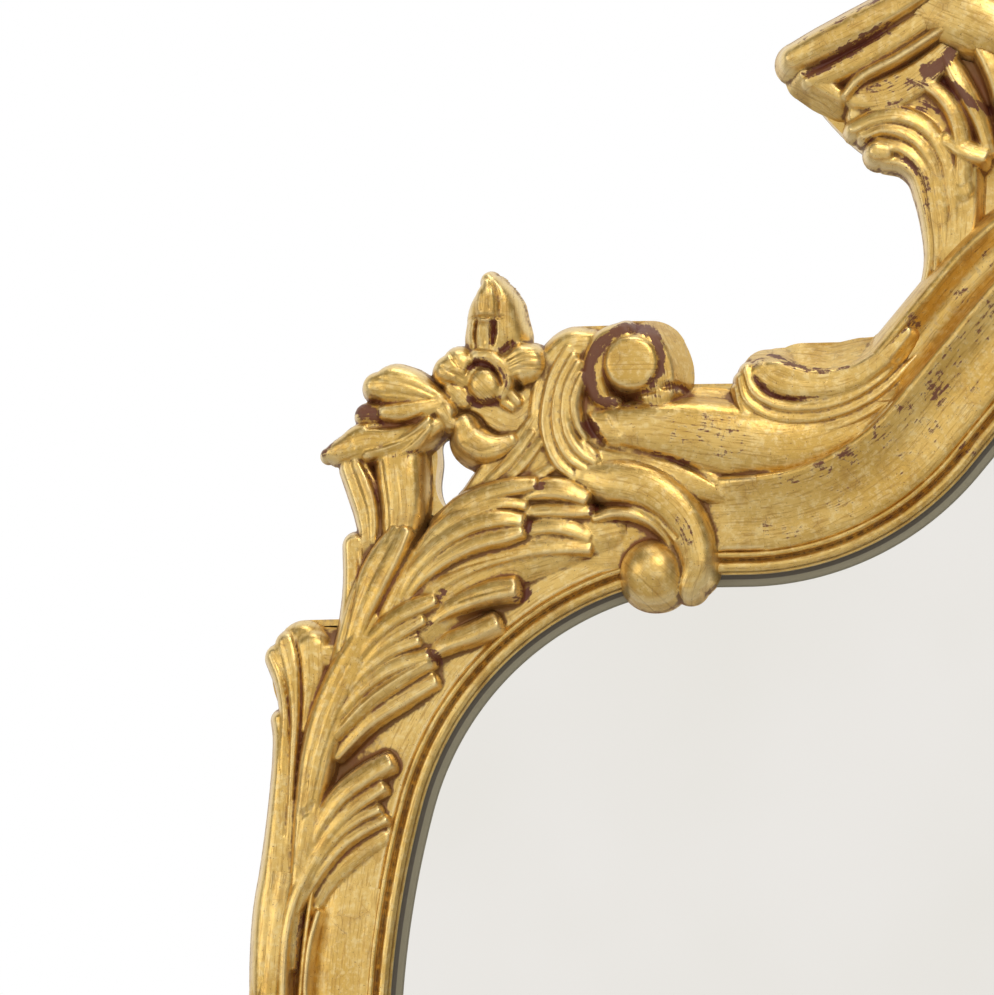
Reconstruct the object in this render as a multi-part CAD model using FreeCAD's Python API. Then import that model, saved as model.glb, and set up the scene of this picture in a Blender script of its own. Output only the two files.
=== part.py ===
import FreeCAD, Part
import math
import os
from collections import namedtuple

# A carved and gilded wall mirror. X runs to the right, Z up, and the front faces -Y.
# The wall is the plane y = 0 and the glass is centred on the Z axis. All lengths are in millimetres.

# Sight line: the inner edge of the gilding, from the middle of the left stile up to the middle of the top.
SIGHT_HALF_WIDTH = 358.0
WAIST_HALF_LENGTH = 112.0
BOW_RADIUS = 450.0
BOW_ANGLE = 15.0
CORNER_RADIUS = 137.0
SHOULDER_RUN = 14.0
ARM_RADIUS = 129.0
ARM_ANGLE = 50.0
ARM_RUN = 60.0

# Boards behind the carving.
PAD_THICKNESS = 8.0
BOARD_THICKNESS = 20.0
REBATE = 6.0
STILE_BOARD_OFFSET = 58.0
RAIL_BOARD_OFFSET = 66.0
TONGUE_LENGTH = 44.0
TONGUE_WIDTH = 26.0
TONGUE_THICKNESS = 6.0
DOWEL_RADIUS = 4.0
DOWEL_LENGTH = 44.0
HIDDEN_CLEARANCE = 0.1

# Mouldings planted on the boards, as offsets from the sight line and heights above the boards.
BEAD_WIDTH = 12.0
BEAD_HEIGHT = 9.0
STILE_WIDTH = 50.0
STILE_HEIGHT = 22.0
RAIL_WIDTH = 55.0
RAIL_HEIGHT = 24.0

# Carvings planted on the boards.
SPRAY_SIZE = 225.0
CARVING_HEIGHT = 27.0
CREST_SIZE = 190.0
CREST_RISE = 31.5
APRON_SIZE = 110.0
SHELL_FLUTES = 9
SHELL_SPREAD = 130.0
APRON_FLUTES = 7
CARVING_CLEARANCE = 0.35

# Glass and what holds it.
GLASS_OVERLAP = 4.5
GLASS_THICKNESS = 5.0
GLASS_EDGE = 3.0
BEVEL_WIDTH = 25.0
GLASS_CLEARANCE = 0.2
BACKING_THICKNESS = 4.0
BLOCK_WIDTH = 11.0
BLOCK_DEPTH = 8.0

# Hangers on the backs of the stiles, and wall pads on the bottom boards.
HANGER_HEIGHT = 190.0
HANGER_OFFSET = 32.0
PLATE_LENGTH = 38.0
PLATE_WIDTH = 12.0
PLATE_THICKNESS = 1.5
BARREL_RADIUS = 3.2
BARREL_LENGTH = 9.0
RING_WIRE_RADIUS = 1.5
RING_CLEARANCE = 0.4
RING_HALF_WIDTH = 8.5
RING_REACH = 24.0
RING_CORNER = 3.0
SCREW_SPACING = 28.0
SCREW_RADIUS = 1.6
SCREW_LENGTH = 14.0
SCREW_HEAD_RADIUS = 2.8
SCREW_HEAD_HEIGHT = 1.5
PAD_RADIUS = 10.0
PAD_TAPER = 2.0

BOARD_FRONT = PAD_THICKNESS + BOARD_THICKNESS
TO_FRONT = FreeCAD.Vector(0, -1, 0)

Run = namedtuple("Run", "x z heading length radius turn")


def left_of(heading):
    """Unit step to the left of a heading, as x and z."""
    return -math.sin(math.radians(heading)), math.cos(math.radians(heading))


def along(run, share, offset):
    """The x, z and heading at a share of a run, set off to its left."""
    heading = run.heading + run.turn * share
    if run.radius == 0:
        side = left_of(run.heading)
        ahead = run.length * share
        x = run.x + ahead * side[1] + offset * side[0]
        z = run.z - ahead * side[0] + offset * side[1]
        return x, z, heading
    reach = math.copysign(run.radius, -run.turn)
    first = left_of(run.heading)
    side = left_of(heading)
    x = run.x - reach * first[0] + (reach + offset) * side[0]
    z = run.z - reach * first[1] + (reach + offset) * side[1]
    return x, z, heading


def walk(x, z, heading, steps):
    """Chain of tangent straights and arcs; each step is a length, or a radius and a turn to the left."""
    runs = []
    for step in steps:
        if len(step) == 1:
            run = Run(x, z, heading, step[0], 0, 0)
        else:
            run = Run(x, z, heading, 0, step[0], step[1])
        runs.append(run)
        x, z, heading = along(run, 1, 0)
    return runs


def piece_of(run, first_share, last_share):
    """The stretch of a run between two of its shares."""
    x, z, heading = along(run, first_share, 0)
    part = last_share - first_share
    return Run(x, z, heading, run.length * part, run.radius, run.turn * part)


def spot(x, z, height):
    """A point at a height in front of the boards' front face."""
    return FreeCAD.Vector(x, -(BOARD_FRONT + height), z)


def edge_of(run, offset, height):
    """Edge that follows a run at an offset and a height."""
    ends = [spot(*along(run, share, offset)[:2], height) for share in (0, 0.5, 1)]
    if run.radius == 0:
        return Part.makeLine(ends[0], ends[2])
    return Part.Arc(*ends).toShape()


def prism(wire, low, high):
    """Solid between two heights over a wire that lies at the lower one."""
    return Part.Face(wire).extrude(TO_FRONT * (high - low))


def joined(solids):
    """One solid out of several that touch."""
    if len(solids) == 1:
        return solids[0]
    return solids[0].multiFuse(solids[1:]).removeSplitter()


def band(runs, inner, outer, low, high):
    """Flat strip between two offsets of a chain of runs."""
    edges = [edge_of(run, inner, low) for run in runs]
    edges += [edge_of(run, outer, low) for run in runs]
    for run, share in ((runs[0], 0), (runs[-1], 1)):
        near = spot(*along(run, share, inner)[:2], low)
        far = spot(*along(run, share, outer)[:2], low)
        edges.append(Part.makeLine(near, far))
    return prism(Part.Wire(Part.__sortEdges__(edges)), low, high)


def swept(runs, section):
    """Moulding with one section along a chain of runs."""
    lengths = []
    for run in runs:
        face = section(run)
        if run.radius == 0:
            side = left_of(run.heading)
            lengths.append(face.extrude(FreeCAD.Vector(side[1], 0, -side[0]) * run.length))
        else:
            reach = math.copysign(run.radius, -run.turn)
            side = left_of(run.heading)
            centre = FreeCAD.Vector(run.x - reach * side[0], 0, run.z - reach * side[1])
            lengths.append(face.revolve(centre, TO_FRONT, run.turn))
    return joined(lengths)


def moulding_section(outline, offset, width, height):
    """Maker of a section face; outline rows are an end, or a way point and an end, in shares."""
    def section(run):
        def at(shares):
            x, z, heading = along(run, 0, offset + width * shares[0])
            return spot(x, z, height * shares[1])
        edges = []
        last = outline[0][-1]
        for row in outline[1:]:
            if len(row) == 1:
                edges.append(Part.makeLine(at(last), at(row[0])))
            else:
                edges.append(Part.Arc(at(last), at(row[0]), at(row[1])).toShape())
            last = row[-1]
        return Part.Face(Part.Wire(edges))
    return section


def polygon(places, low, high):
    """Prism over straight-sided places given as x and z."""
    corners = [spot(x, z, low) for x, z in places]
    return prism(Part.makePolygon(corners + corners[:1]), low, high)


def rounded(places, low, high):
    """Prism over a smooth closed outline through places given as x and z."""
    curve = Part.BSplineCurve()
    curve.interpolate([spot(x, z, low) for x, z in places], PeriodicFlag=True)
    return prism(Part.Wire(curve.toShape()), low, high)


def lobe(rows, relief):
    """Carved finger through rows of x, z, half width and crown share, with a flat back on the board."""
    sections = []
    for number, (x, z, half_width, crown_share) in enumerate(rows):
        before = rows[max(number - 1, 0)]
        after = rows[min(number + 1, len(rows) - 1)]
        length = math.hypot(after[0] - before[0], after[1] - before[1])
        side_x = (before[1] - after[1]) / length * half_width
        side_z = (after[0] - before[0]) / length * half_width
        crown = relief * crown_share
        shoulder = max(crown - half_width * ROUNDNESS_SHARE, crown * SHOULDER_SHARE)
        base = [spot(x + side_x, z + side_z, 0), spot(x - side_x, z - side_z, 0)]
        top = [spot(x + side_x, z + side_z, shoulder), spot(x - side_x, z - side_z, shoulder)]
        edges = [
            Part.makeLine(base[0], top[0]),
            Part.Arc(top[0], spot(x, z, crown), top[1]).toShape(),
            Part.makeLine(top[1], base[1]),
            Part.makeLine(base[1], base[0]),
        ]
        sections.append(Part.Wire(edges))
    return Part.makeLoft(sections, True, False)


def turned(x, z, rows):
    """Round carving about a place; rows are an end, or a way point and an end, as radius and height."""
    def at(row):
        return spot(x + row[0], z, row[1])
    edges = []
    last = rows[0][-1]
    for row in rows[1:]:
        if len(row) == 1:
            edges.append(Part.makeLine(at(last), at(row[0])))
        else:
            edges.append(Part.Arc(at(last), at(row[0]), at(row[1])).toShape())
        last = row[-1]
    edges.append(Part.makeLine(at(last), at(rows[0][-1])))
    return Part.Face(Part.Wire(edges)).revolve(spot(x, z, 0), TO_FRONT, 360)


def dome(x, z, radius, height):
    """Round boss with an upright wall and a domed top."""
    crown = min(radius, height) * DOME_SHARE
    waist = height - crown
    middle = (radius * math.sqrt(0.5), waist + crown * math.sqrt(0.5))
    shoulder = (radius * TIP_SHARE, waist + crown * math.sqrt(1 - TIP_SHARE ** 2))
    return turned(x, z, [[(0, 0)], [(radius, 0)], [(radius, waist)], [middle, shoulder], [(0, height)]])


def cylinder(radius, length, start, direction):
    """Round bar from a start point along a direction."""
    return Part.makeCylinder(radius, length, start, direction)


def flipped(shape):
    """The same shape on the other side of the upright middle plane."""
    return shape.mirror(FreeCAD.Vector(0, 0, 0), FreeCAD.Vector(1, 0, 0))


def lowered(shape):
    """The same shape below the level middle plane."""
    return shape.mirror(FreeCAD.Vector(0, 0, 0), FreeCAD.Vector(0, 0, 1))


def save(shape, name):
    """Write one piece."""
    shape.exportStep("parts/" + name + ".step")


def save_pair(shape, name):
    """Write a left piece and its mirror image."""
    save(shape, name + "_left")
    save(flipped(shape), name + "_right")


def save_four(upper, name, lower=None):
    """Write a piece for each corner; the lower ones may have their own upper-left pattern."""
    save_pair(upper, "upper_" + name)
    save_pair(lowered(lower or upper), "lower_" + name)


# The sight line in seven runs of the upper left quarter.
first_steps = [
    (WAIST_HALF_LENGTH,),
    (BOW_RADIUS, -BOW_ANGLE),
    (CORNER_RADIUS, BOW_ANGLE - 90),
    (SHOULDER_RUN,),
    (ARM_RADIUS, ARM_ANGLE),
    (ARM_RUN,),
]
quarter = walk(-SIGHT_HALF_WIDTH, 0, 90, first_steps)
arm_end_x, arm_end_z, arm_heading = along(quarter[-1], 1, 0)
ARCH_RADIUS = -arm_end_x / math.sin(math.radians(ARM_ANGLE))
quarter += walk(arm_end_x, arm_end_z, arm_heading, [(ARCH_RADIUS, -ARM_ANGLE)])
waist, bow, corner, shoulder_run, arm, arm_run, arch = quarter
anchor_x, anchor_z, anchor_heading = along(corner, 1, 0)
arch_x, arch_z, arch_heading = along(arch, 1, 0)

# How full the carved fingers and bosses are.
ROUNDNESS_SHARE = 0.85
SHOULDER_SHARE = 0.3
DOME_SHARE = 0.9
TIP_SHARE = 0.2


def on_spray(*shares):
    """Places on the corner spray from shares of its size about the end of the corner arc."""
    return [(anchor_x + SPRAY_SIZE * u, anchor_z + SPRAY_SIZE * v) for u, v in shares]


def spray_lobe(*rows):
    """Carved finger of the corner spray; rows are two places, a half width and a crown, all shares."""
    placed = []
    for u, v, width_share, crown_share in rows:
        x, z = on_spray((u, v))[0]
        placed.append((x, z, SPRAY_SIZE * width_share, crown_share))
    return lobe(placed, CARVING_HEIGHT)


def on_crest(*shares):
    """Places on the crest from shares of its size about a point above the top of the sight line."""
    return [(CREST_SIZE * u, arch_z + CREST_RISE + CREST_SIZE * v) for u, v in shares]


def crest_lobe(*rows):
    """Carved finger of the crest."""
    placed = []
    for u, v, width_share, crown_share in rows:
        x, z = on_crest((u, v))[0]
        placed.append((x, z, CREST_SIZE * width_share, crown_share))
    return lobe(placed, CARVING_HEIGHT)


def on_apron(*shares):
    """Places on the apron, drawn the right way up over the top of the sight line."""
    return [(APRON_SIZE * u, arch_z + APRON_SIZE * v) for u, v in shares]


def apron_lobe(*rows):
    """Carved finger of the apron."""
    placed = []
    for u, v, width_share, crown_share in rows:
        x, z = on_apron((u, v))[0]
        placed.append((x, z, APRON_SIZE * width_share, crown_share))
    return lobe(placed, CARVING_HEIGHT)


# Ground each carving keeps to, in shares of the spray. Neighbours share their border places.
BORDER_STILE_SHARES = [(-0.53, -0.188), (-0.586, -0.216), (-0.666, -0.26), (-0.726, -0.308), (-0.75, -0.24),
                       (-0.752, -0.12), (-0.766, -0.05)]
BORDER_STEM_SHARES = [(-0.766, 0.05), (-0.7, 0.1), (-0.626, 0.124), (-0.562, 0.148), (-0.528, 0.132)]
BORDER_SHELF_SHARES = [(-0.466, 0.168), (-0.336, 0.192), (-0.216, 0.188)]
BORDER_ROLL_SHARES = [(-0.216, 0.238), (-0.146, 0.232), (-0.056, 0.212), (0.006, 0.172)]
BORDER_BALL_SHARES = [(-0.216, 0.108), (-0.196, 0.03), (-0.14, -0.05)]
BORDER_KNOB_SHARES = [(-0.532, 0.292), (-0.516, 0.318), (-0.536, 0.358), (-0.554, 0.38), (-0.566, 0.428)]
BORDER_PETAL_SHARES = [(-0.356, 0.5), (-0.352, 0.384), (-0.39, 0.34), (-0.402, 0.264), (-0.47, 0.218)]

stile_leaf_ground = polygon(on_spray(
    (-0.842, -0.842), (-0.802, -0.642), (-0.746, -0.568), (-0.656, -0.512), (-0.56, -0.49), (-0.47, -0.24),
    *BORDER_STILE_SHARES, (-0.766, 0.03), (-1.0, 0.03), (-1.0, -0.2), (-0.9, -0.254), (-0.83, -0.3),
    (-0.836, -0.43), (-0.846, -0.6)), 0, CARVING_HEIGHT * 2)
corner_leaf_ground = polygon(on_spray(
    *BORDER_STILE_SHARES, *BORDER_STEM_SHARES, *BORDER_SHELF_SHARES, *BORDER_BALL_SHARES,
    (-0.4, -0.24)), 0, CARVING_HEIGHT * 2)
roll_ground = polygon(on_spray(
    *BORDER_ROLL_SHARES, (0.014, 0.06), (0.03, -0.02), (0.06, -0.16), (-0.2, -0.16),
    *reversed(BORDER_BALL_SHARES)), 0, CARVING_HEIGHT * 2)
volute_ground = polygon(on_spray(
    *BORDER_PETAL_SHARES, *BORDER_SHELF_SHARES, *BORDER_ROLL_SHARES, (0.05, 0.172), (0.044, 0.36),
    (0.04, 0.6), (-0.3, 0.6)), 0, CARVING_HEIGHT * 2)
flower_ground = polygon(on_spray(
    *BORDER_KNOB_SHARES, (-0.6, 0.7), (-0.3, 0.7), *BORDER_PETAL_SHARES), 0, CARVING_HEIGHT * 2)
sprig_ground = polygon(on_spray(
    *BORDER_STEM_SHARES, (-0.56, 0.2), *BORDER_KNOB_SHARES, (-0.6, 0.5), (-0.9, 0.5), (-0.9, 0.05)),
    0, CARVING_HEIGHT * 2)
pierced_gap = rounded(on_spray(
    (-0.546, 0.288), (-0.518, 0.284), (-0.498, 0.238), (-0.472, 0.204), (-0.478, 0.17), (-0.528, 0.132),
    (-0.552, 0.154), (-0.562, 0.198), (-0.558, 0.248)), -BOARD_THICKNESS, CARVING_HEIGHT * 2)

def whole_outline(offset, height):
    """Closed outline of the whole mirror at an offset from the sight line."""
    edges = [edge_of(run, offset, height) for run in quarter]
    edges += [flipped(edge) for edge in edges]
    edges += [lowered(edge) for edge in edges]
    return Part.Wire(Part.__sortEdges__(edges))


# Boards: a strip along the sight line with lugs behind the carvings that reach past it.
bead_strip = band([bow, corner, shoulder_run], -BEAD_WIDTH * 5, BEAD_WIDTH, 0, CARVING_HEIGHT * 2)
leaf_lug = rounded(on_spray(
    (-0.74, -0.42), (-0.86, -0.28), (-0.882, -0.142), (-0.842, -0.1), (-0.78, -0.11), (-0.72, -0.1),
    (-0.66, -0.2)), -BOARD_THICKNESS, 0)
volute_lug = rounded(on_spray(
    (-0.3, 0.2), (-0.37, 0.3), (-0.34, 0.42), (-0.27, 0.462), (-0.2, 0.47), (-0.14, 0.488), (-0.08, 0.468),
    (-0.062, 0.4), (-0.05, 0.35), (0.02, 0.335), (0.06, 0.28), (0.1, 0.1), (-0.1, 0.06)), -BOARD_THICKNESS, 0)
sprig_lug = rounded(on_spray(
    (-0.72, -0.04), (-0.71, 0.1), (-0.7, 0.16), (-0.736, 0.222), (-0.756, 0.25), (-0.72, 0.29), (-0.68, 0.33),
    (-0.67, 0.38), (-0.63, 0.406), (-0.58, 0.39), (-0.54, 0.37), (-0.526, 0.4), (-0.49, 0.46), (-0.474, 0.54),
    (-0.45, 0.58), (-0.42, 0.56), (-0.396, 0.49), (-0.36, 0.44), (-0.33, 0.36), (-0.33, 0.2), (-0.4, 0.02),
    (-0.6, -0.06)), -BOARD_THICKNESS, 0)
stile_board = band([waist, bow], REBATE, STILE_BOARD_OFFSET, -BOARD_THICKNESS, 0)
stile_board = joined([stile_board, lowered(stile_board)])
rail_runs = [arm, arm_run, arch]
rail_band = band([corner, shoulder_run] + rail_runs, REBATE, RAIL_BOARD_OFFSET, -BOARD_THICKNESS, 0)
lower_board = joined([rail_band, leaf_lug, volute_lug])
upper_board = joined([rail_band, leaf_lug, volute_lug, sprig_lug]).cut(pierced_gap)
stile_side = band([waist, bow], -REBATE, STILE_BOARD_OFFSET, -BOARD_THICKNESS, 0)
lower_board = lower_board.cut(stile_side)
upper_board = upper_board.cut(stile_side)


def tongue(run, share, clearance):
    """Loose tongue across a board joint, at mid thickness."""
    x, z, heading = along(run, share, (REBATE + STILE_BOARD_OFFSET) / 2)
    half = TONGUE_LENGTH / 2 + clearance
    wide = TONGUE_WIDTH / 2 + clearance
    thick = TONGUE_THICKNESS / 2 + clearance
    side = left_of(heading)
    places = []
    for ahead, out in ((-half, -wide), (half, -wide), (half, wide), (-half, wide)):
        places.append((x + ahead * side[1] + out * side[0], z - ahead * side[0] + out * side[1]))
    return polygon(places, -BOARD_THICKNESS / 2 - thick, -BOARD_THICKNESS / 2 + thick)


def dowel(x, z, clearance):
    """Upright dowel at mid thickness of the boards, about its middle."""
    start = spot(x, z - DOWEL_LENGTH / 2 - clearance, -BOARD_THICKNESS / 2)
    return cylinder(DOWEL_RADIUS + clearance, DOWEL_LENGTH + clearance * 2, start, FreeCAD.Vector(0, 0, 1))


corner_slot = tongue(corner, 0, HIDDEN_CLEARANCE)
middle_slot = tongue(arch, 1, HIDDEN_CLEARANCE)
stile_board = stile_board.cut(corner_slot).cut(lowered(corner_slot))

# Crest and apron boards stand on the outer edge of the top and bottom boards.
DOWEL_PLACE_SHARE = 0.3
rail_side = band(rail_runs, 0, RAIL_BOARD_OFFSET, -BOARD_THICKNESS, 0)
rail_side = joined([rail_side, flipped(rail_side)])
CREST_LEFT_SHARES = [(-0.2, 0.93), (-0.4, 0.8), (-0.6, 0.6), (-0.78, 0.46), (-0.9, 0.4), (-0.84, 0.28), (-0.74, 0.19),
                     (-0.64, 0.12), (-0.6, 0.03), (-0.61, -0.09), (-0.64, -0.17), (-0.5, -0.1), (-0.3, 0)]
crest_right_shares = [(-u, v) for u, v in reversed(CREST_LEFT_SHARES)]
crest_outline = on_crest((0, 0.97), *CREST_LEFT_SHARES, (0, 0), *crest_right_shares)
crest_board = rounded(crest_outline, -BOARD_THICKNESS, 0).cut(rail_side)
apron_half = rounded(on_apron(
    (0.3, 0.4), (0.3, 0.9), (0, 1.02), (-0.3, 0.96), (-0.56, 0.82), (-0.8, 0.6), (-1.0, 0.4), (-0.9, 0.2),
    (-0.5, 0.4)), -BOARD_THICKNESS, 0)
apron_board = joined([apron_half, flipped(apron_half)]).cut(rail_side)
dowel_x = CREST_SIZE * DOWEL_PLACE_SHARE
dowel_z = arch_z - ARCH_RADIUS + math.sqrt((ARCH_RADIUS + RAIL_BOARD_OFFSET) ** 2 - dowel_x ** 2)
dowel_hole = dowel(-dowel_x, dowel_z, HIDDEN_CLEARANCE)
upper_board = upper_board.cut(corner_slot).cut(middle_slot).cut(dowel_hole)
lower_board = lower_board.cut(corner_slot).cut(middle_slot).cut(dowel_hole)
crest_board = crest_board.cut(dowel_hole).cut(flipped(dowel_hole))
apron_board = apron_board.cut(dowel_hole).cut(flipped(dowel_hole))

corner_tongue = tongue(corner, 0, 0)
middle_tongue = tongue(arch, 1, 0)
side_tongues = [corner_tongue, lowered(corner_tongue)]
tongues = side_tongues + [flipped(key) for key in side_tongues] + [middle_tongue, lowered(middle_tongue)]
top_dowel = dowel(-dowel_x, dowel_z, 0)
side_dowels = [top_dowel, lowered(top_dowel)]
dowels = side_dowels + [flipped(peg) for peg in side_dowels]

# Corner carvings.
roll = joined([
    spray_lobe((-0.246, 0.192, 0.03, 0.55), (-0.15, 0.172, 0.05, 0.7), (-0.066, 0.118, 0.056, 0.8),
               (-0.034, 0.044, 0.046, 0.8), (-0.06, -0.03, 0.03, 0.7)),
    dome(*on_spray((-0.12, 0.004))[0], SPRAY_SIZE * 0.068, CARVING_HEIGHT * 0.85),
    spray_lobe((-0.24, 0.13, 0.024, 0.45), (-0.16, 0.11, 0.034, 0.5), (-0.1, 0.07, 0.03, 0.5)),
]).common(roll_ground)
over_glass = prism(whole_outline(REBATE, 0), 0, BEAD_HEIGHT / 2)
roll = roll.cut(over_glass)

volute_x, volute_z = on_spray((-0.146, 0.416))[0]
EYE_RADIUS_SHARE = 0.056
GROOVE_RADIUS_SHARE = 0.07
RIM_RADIUS_SHARE = 0.1
rim_middle_share = (GROOVE_RADIUS_SHARE + RIM_RADIUS_SHARE) / 2
volute = turned(volute_x, volute_z, [
    [(0, 0)],
    [(SPRAY_SIZE * RIM_RADIUS_SHARE, 0)],
    [(SPRAY_SIZE * RIM_RADIUS_SHARE, CARVING_HEIGHT * 0.8)],
    [(SPRAY_SIZE * rim_middle_share, CARVING_HEIGHT * 0.95), (SPRAY_SIZE * GROOVE_RADIUS_SHARE, CARVING_HEIGHT * 0.8)],
    [(SPRAY_SIZE * GROOVE_RADIUS_SHARE, CARVING_HEIGHT * 0.6)],
    [(SPRAY_SIZE * EYE_RADIUS_SHARE, CARVING_HEIGHT * 0.6)],
    [(SPRAY_SIZE * EYE_RADIUS_SHARE, CARVING_HEIGHT * 0.86)],
    [(0, CARVING_HEIGHT * 0.9)],
])
volute = joined([
    volute,
    spray_lobe((-0.27, 0.45, 0.03, 0.45), (-0.32, 0.39, 0.034, 0.5), (-0.336, 0.31, 0.034, 0.5),
               (-0.31, 0.235, 0.034, 0.5), (-0.24, 0.19, 0.03, 0.4)),
    spray_lobe((-0.25, 0.42, 0.024, 0.5), (-0.285, 0.36, 0.026, 0.6), (-0.285, 0.3, 0.026, 0.6),
               (-0.25, 0.24, 0.03, 0.5), (-0.19, 0.2, 0.02, 0.4)),
    spray_lobe((-0.41, 0.25, 0.024, 0.35), (-0.38, 0.22, 0.03, 0.4), (-0.33, 0.2, 0.02, 0.35)),
    spray_lobe((-0.26, 0.29, 0.03, 0.6), (-0.14, 0.3, 0.054, 0.8), (-0.04, 0.29, 0.06, 0.8), (0.05, 0.27, 0.06, 0.7)),
    spray_lobe((-0.2, 0.23, 0.03, 0.5), (-0.1, 0.235, 0.034, 0.55), (0.05, 0.2, 0.03, 0.55)),
]).common(volute_ground)

flower_x, flower_z = on_spray((-0.454, 0.386))[0]
flower = joined([
    spray_lobe((-0.452, 0.4, 0.05, 0.5), (-0.45, 0.47, 0.066, 0.6), (-0.45, 0.54, 0.05, 0.6), (-0.452, 0.596, 0.012, 0.4)),
    spray_lobe((-0.44, 0.39, 0.03, 0.5), (-0.5, 0.405, 0.05, 0.6), (-0.55, 0.41, 0.03, 0.4)),
    spray_lobe((-0.46, 0.39, 0.03, 0.5), (-0.39, 0.415, 0.046, 0.6), (-0.342, 0.43, 0.03, 0.4)),
    spray_lobe((-0.5, 0.3, 0.03, 0.4), (-0.46, 0.266, 0.042, 0.6), (-0.412, 0.275, 0.03, 0.45)),
    spray_lobe((-0.454, 0.36, 0.05, 0.4), (-0.454, 0.32, 0.05, 0.4), (-0.454, 0.28, 0.03, 0.4)),
    dome(flower_x, flower_z, SPRAY_SIZE * 0.04, CARVING_HEIGHT * 0.8),
]).common(flower_ground).cut(pierced_gap)

sprig = joined([
    spray_lobe((-0.66, 0.02, 0.06, 0.5), (-0.634, 0.14, 0.07, 0.6), (-0.652, 0.24, 0.084, 0.55), (-0.66, 0.27, 0.05, 0.4)),
    spray_lobe((-0.51, 0.34, 0.016, 0.4), (-0.6, 0.366, 0.05, 0.6), (-0.66, 0.386, 0.036, 0.5), (-0.704, 0.404, 0.01, 0.35)),
    spray_lobe((-0.51, 0.308, 0.016, 0.4), (-0.62, 0.282, 0.046, 0.6), (-0.71, 0.262, 0.03, 0.5), (-0.786, 0.25, 0.01, 0.35)),
]).common(sprig_ground).cut(pierced_gap)

corner_leaf = joined([
    spray_lobe((-0.746, -0.16, 0.024, 0.4), (-0.704, -0.02, 0.036, 0.6), (-0.656, 0.056, 0.03, 0.6), (-0.612, 0.11, 0.01, 0.4)),
    spray_lobe((-0.66, -0.08, 0.02, 0.5), (-0.56, 0.07, 0.03, 0.7), (-0.446, 0.144, 0.03, 0.8), (-0.346, 0.176, 0.014, 0.6)),
    spray_lobe((-0.66, -0.1, 0.02, 0.5), (-0.54, 0.03, 0.036, 0.7), (-0.43, 0.086, 0.04, 0.8), (-0.364, 0.09, 0.02, 0.7)),
    spray_lobe((-0.6, -0.04, 0.02, 0.4), (-0.486, 0.016, 0.034, 0.5), (-0.366, 0.036, 0.034, 0.5), (-0.236, 0.05, 0.03, 0.4)),
    spray_lobe((-0.43, 0.15, 0.03, 0.6), (-0.33, 0.136, 0.034, 0.7), (-0.226, 0.118, 0.02, 0.55)),
    spray_lobe((-0.37, 0.09, 0.02, 0.5), (-0.296, 0.07, 0.034, 0.6), (-0.22, 0.056, 0.026, 0.5)),
    spray_lobe((-0.756, -0.34, 0.02, 0.4), (-0.7, -0.19, 0.034, 0.7), (-0.626, -0.106, 0.034, 0.8), (-0.548, -0.046, 0.014, 0.6)),
    spray_lobe((-0.74, -0.34, 0.02, 0.4), (-0.66, -0.2, 0.034, 0.7), (-0.56, -0.12, 0.03, 0.7)),
    spray_lobe((-0.74, -0.36, 0.02, 0.4), (-0.67, -0.24, 0.03, 0.6), (-0.556, -0.17, 0.024, 0.6)),
    spray_lobe((-0.62, -0.17, 0.02, 0.5), (-0.49, -0.06, 0.034, 0.8), (-0.374, -0.03, 0.02, 0.7)),
    spray_lobe((-0.6, -0.2, 0.02, 0.4), (-0.49, -0.124, 0.03, 0.7), (-0.414, -0.09, 0.018, 0.6)),
]).common(corner_leaf_ground).cut(bead_strip)

stile_leaf = joined([
    spray_lobe((-0.868, -0.7, 0.02, 0.4), (-0.85, -0.42, 0.03, 0.6), (-0.832, -0.26, 0.05, 0.65), (-0.83, -0.17, 0.066, 0.6),
               (-0.826, -0.1, 0.03, 0.4)),
    spray_lobe((-0.85, -0.8, 0.012, 0.4), (-0.82, -0.56, 0.03, 0.7), (-0.78, -0.42, 0.034, 0.7), (-0.72, -0.3, 0.03, 0.6)),
    spray_lobe((-0.84, -0.64, 0.02, 0.5), (-0.79, -0.496, 0.034, 0.75), (-0.714, -0.41, 0.034, 0.75), (-0.62, -0.36, 0.02, 0.6)),
    spray_lobe((-0.84, -0.7, 0.02, 0.5), (-0.766, -0.54, 0.034, 0.7), (-0.7, -0.47, 0.034, 0.7), (-0.634, -0.43, 0.02, 0.6)),
    spray_lobe((-0.84, -0.76, 0.016, 0.5), (-0.782, -0.612, 0.03, 0.6), (-0.72, -0.54, 0.03, 0.6), (-0.644, -0.49, 0.02, 0.5)),
    spray_lobe((-0.76, -0.36, 0.04, 0.4), (-0.66, -0.31, 0.05, 0.4), (-0.56, -0.27, 0.05, 0.35)),
]).common(stile_leaf_ground).cut(bead_strip)

# Mouldings run along the sight line and stop against the carvings.
BEAD_SHARES = [[(0, 0)], [(1, 0)], [(1, 1)], [(0.7, 1)], [(0.62, 0.7)], [(0.34, 0.95), (0, 0.5)], [(0, 0)]]
STILE_SHARES = [[(0, 0)], [(1, 0)], [(1, 0.3)], [(0.84, 1), (0.68, 0.45)], [(0.65, 0.3)], [(0.61, 0.55)],
                [(0.58, 0.55)], [(0.54, 0.3)], [(0.5, 0.5)], [(0.26, 0.7), (0, 0.42)], [(0, 0)]]
RAIL_SHARES = [[(0, 0)], [(1, 0)], [(1, 0.4)], [(0.946, 0.7), (0.83, 0.8)], [(0.68, 0.5), (0.5, 0.84)],
               [(0.24, 0.66), (0, 0.38)], [(0, 0)]]
bead_section = moulding_section(BEAD_SHARES, 0, BEAD_WIDTH, BEAD_HEIGHT)
bead_lengths = swept(quarter, bead_section).cut(roll_ground).Solids
bead_lengths.sort(key=lambda length: length.BoundBox.XMin)
side_bead = joined([bead_lengths[0], lowered(bead_lengths[0])])
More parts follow.
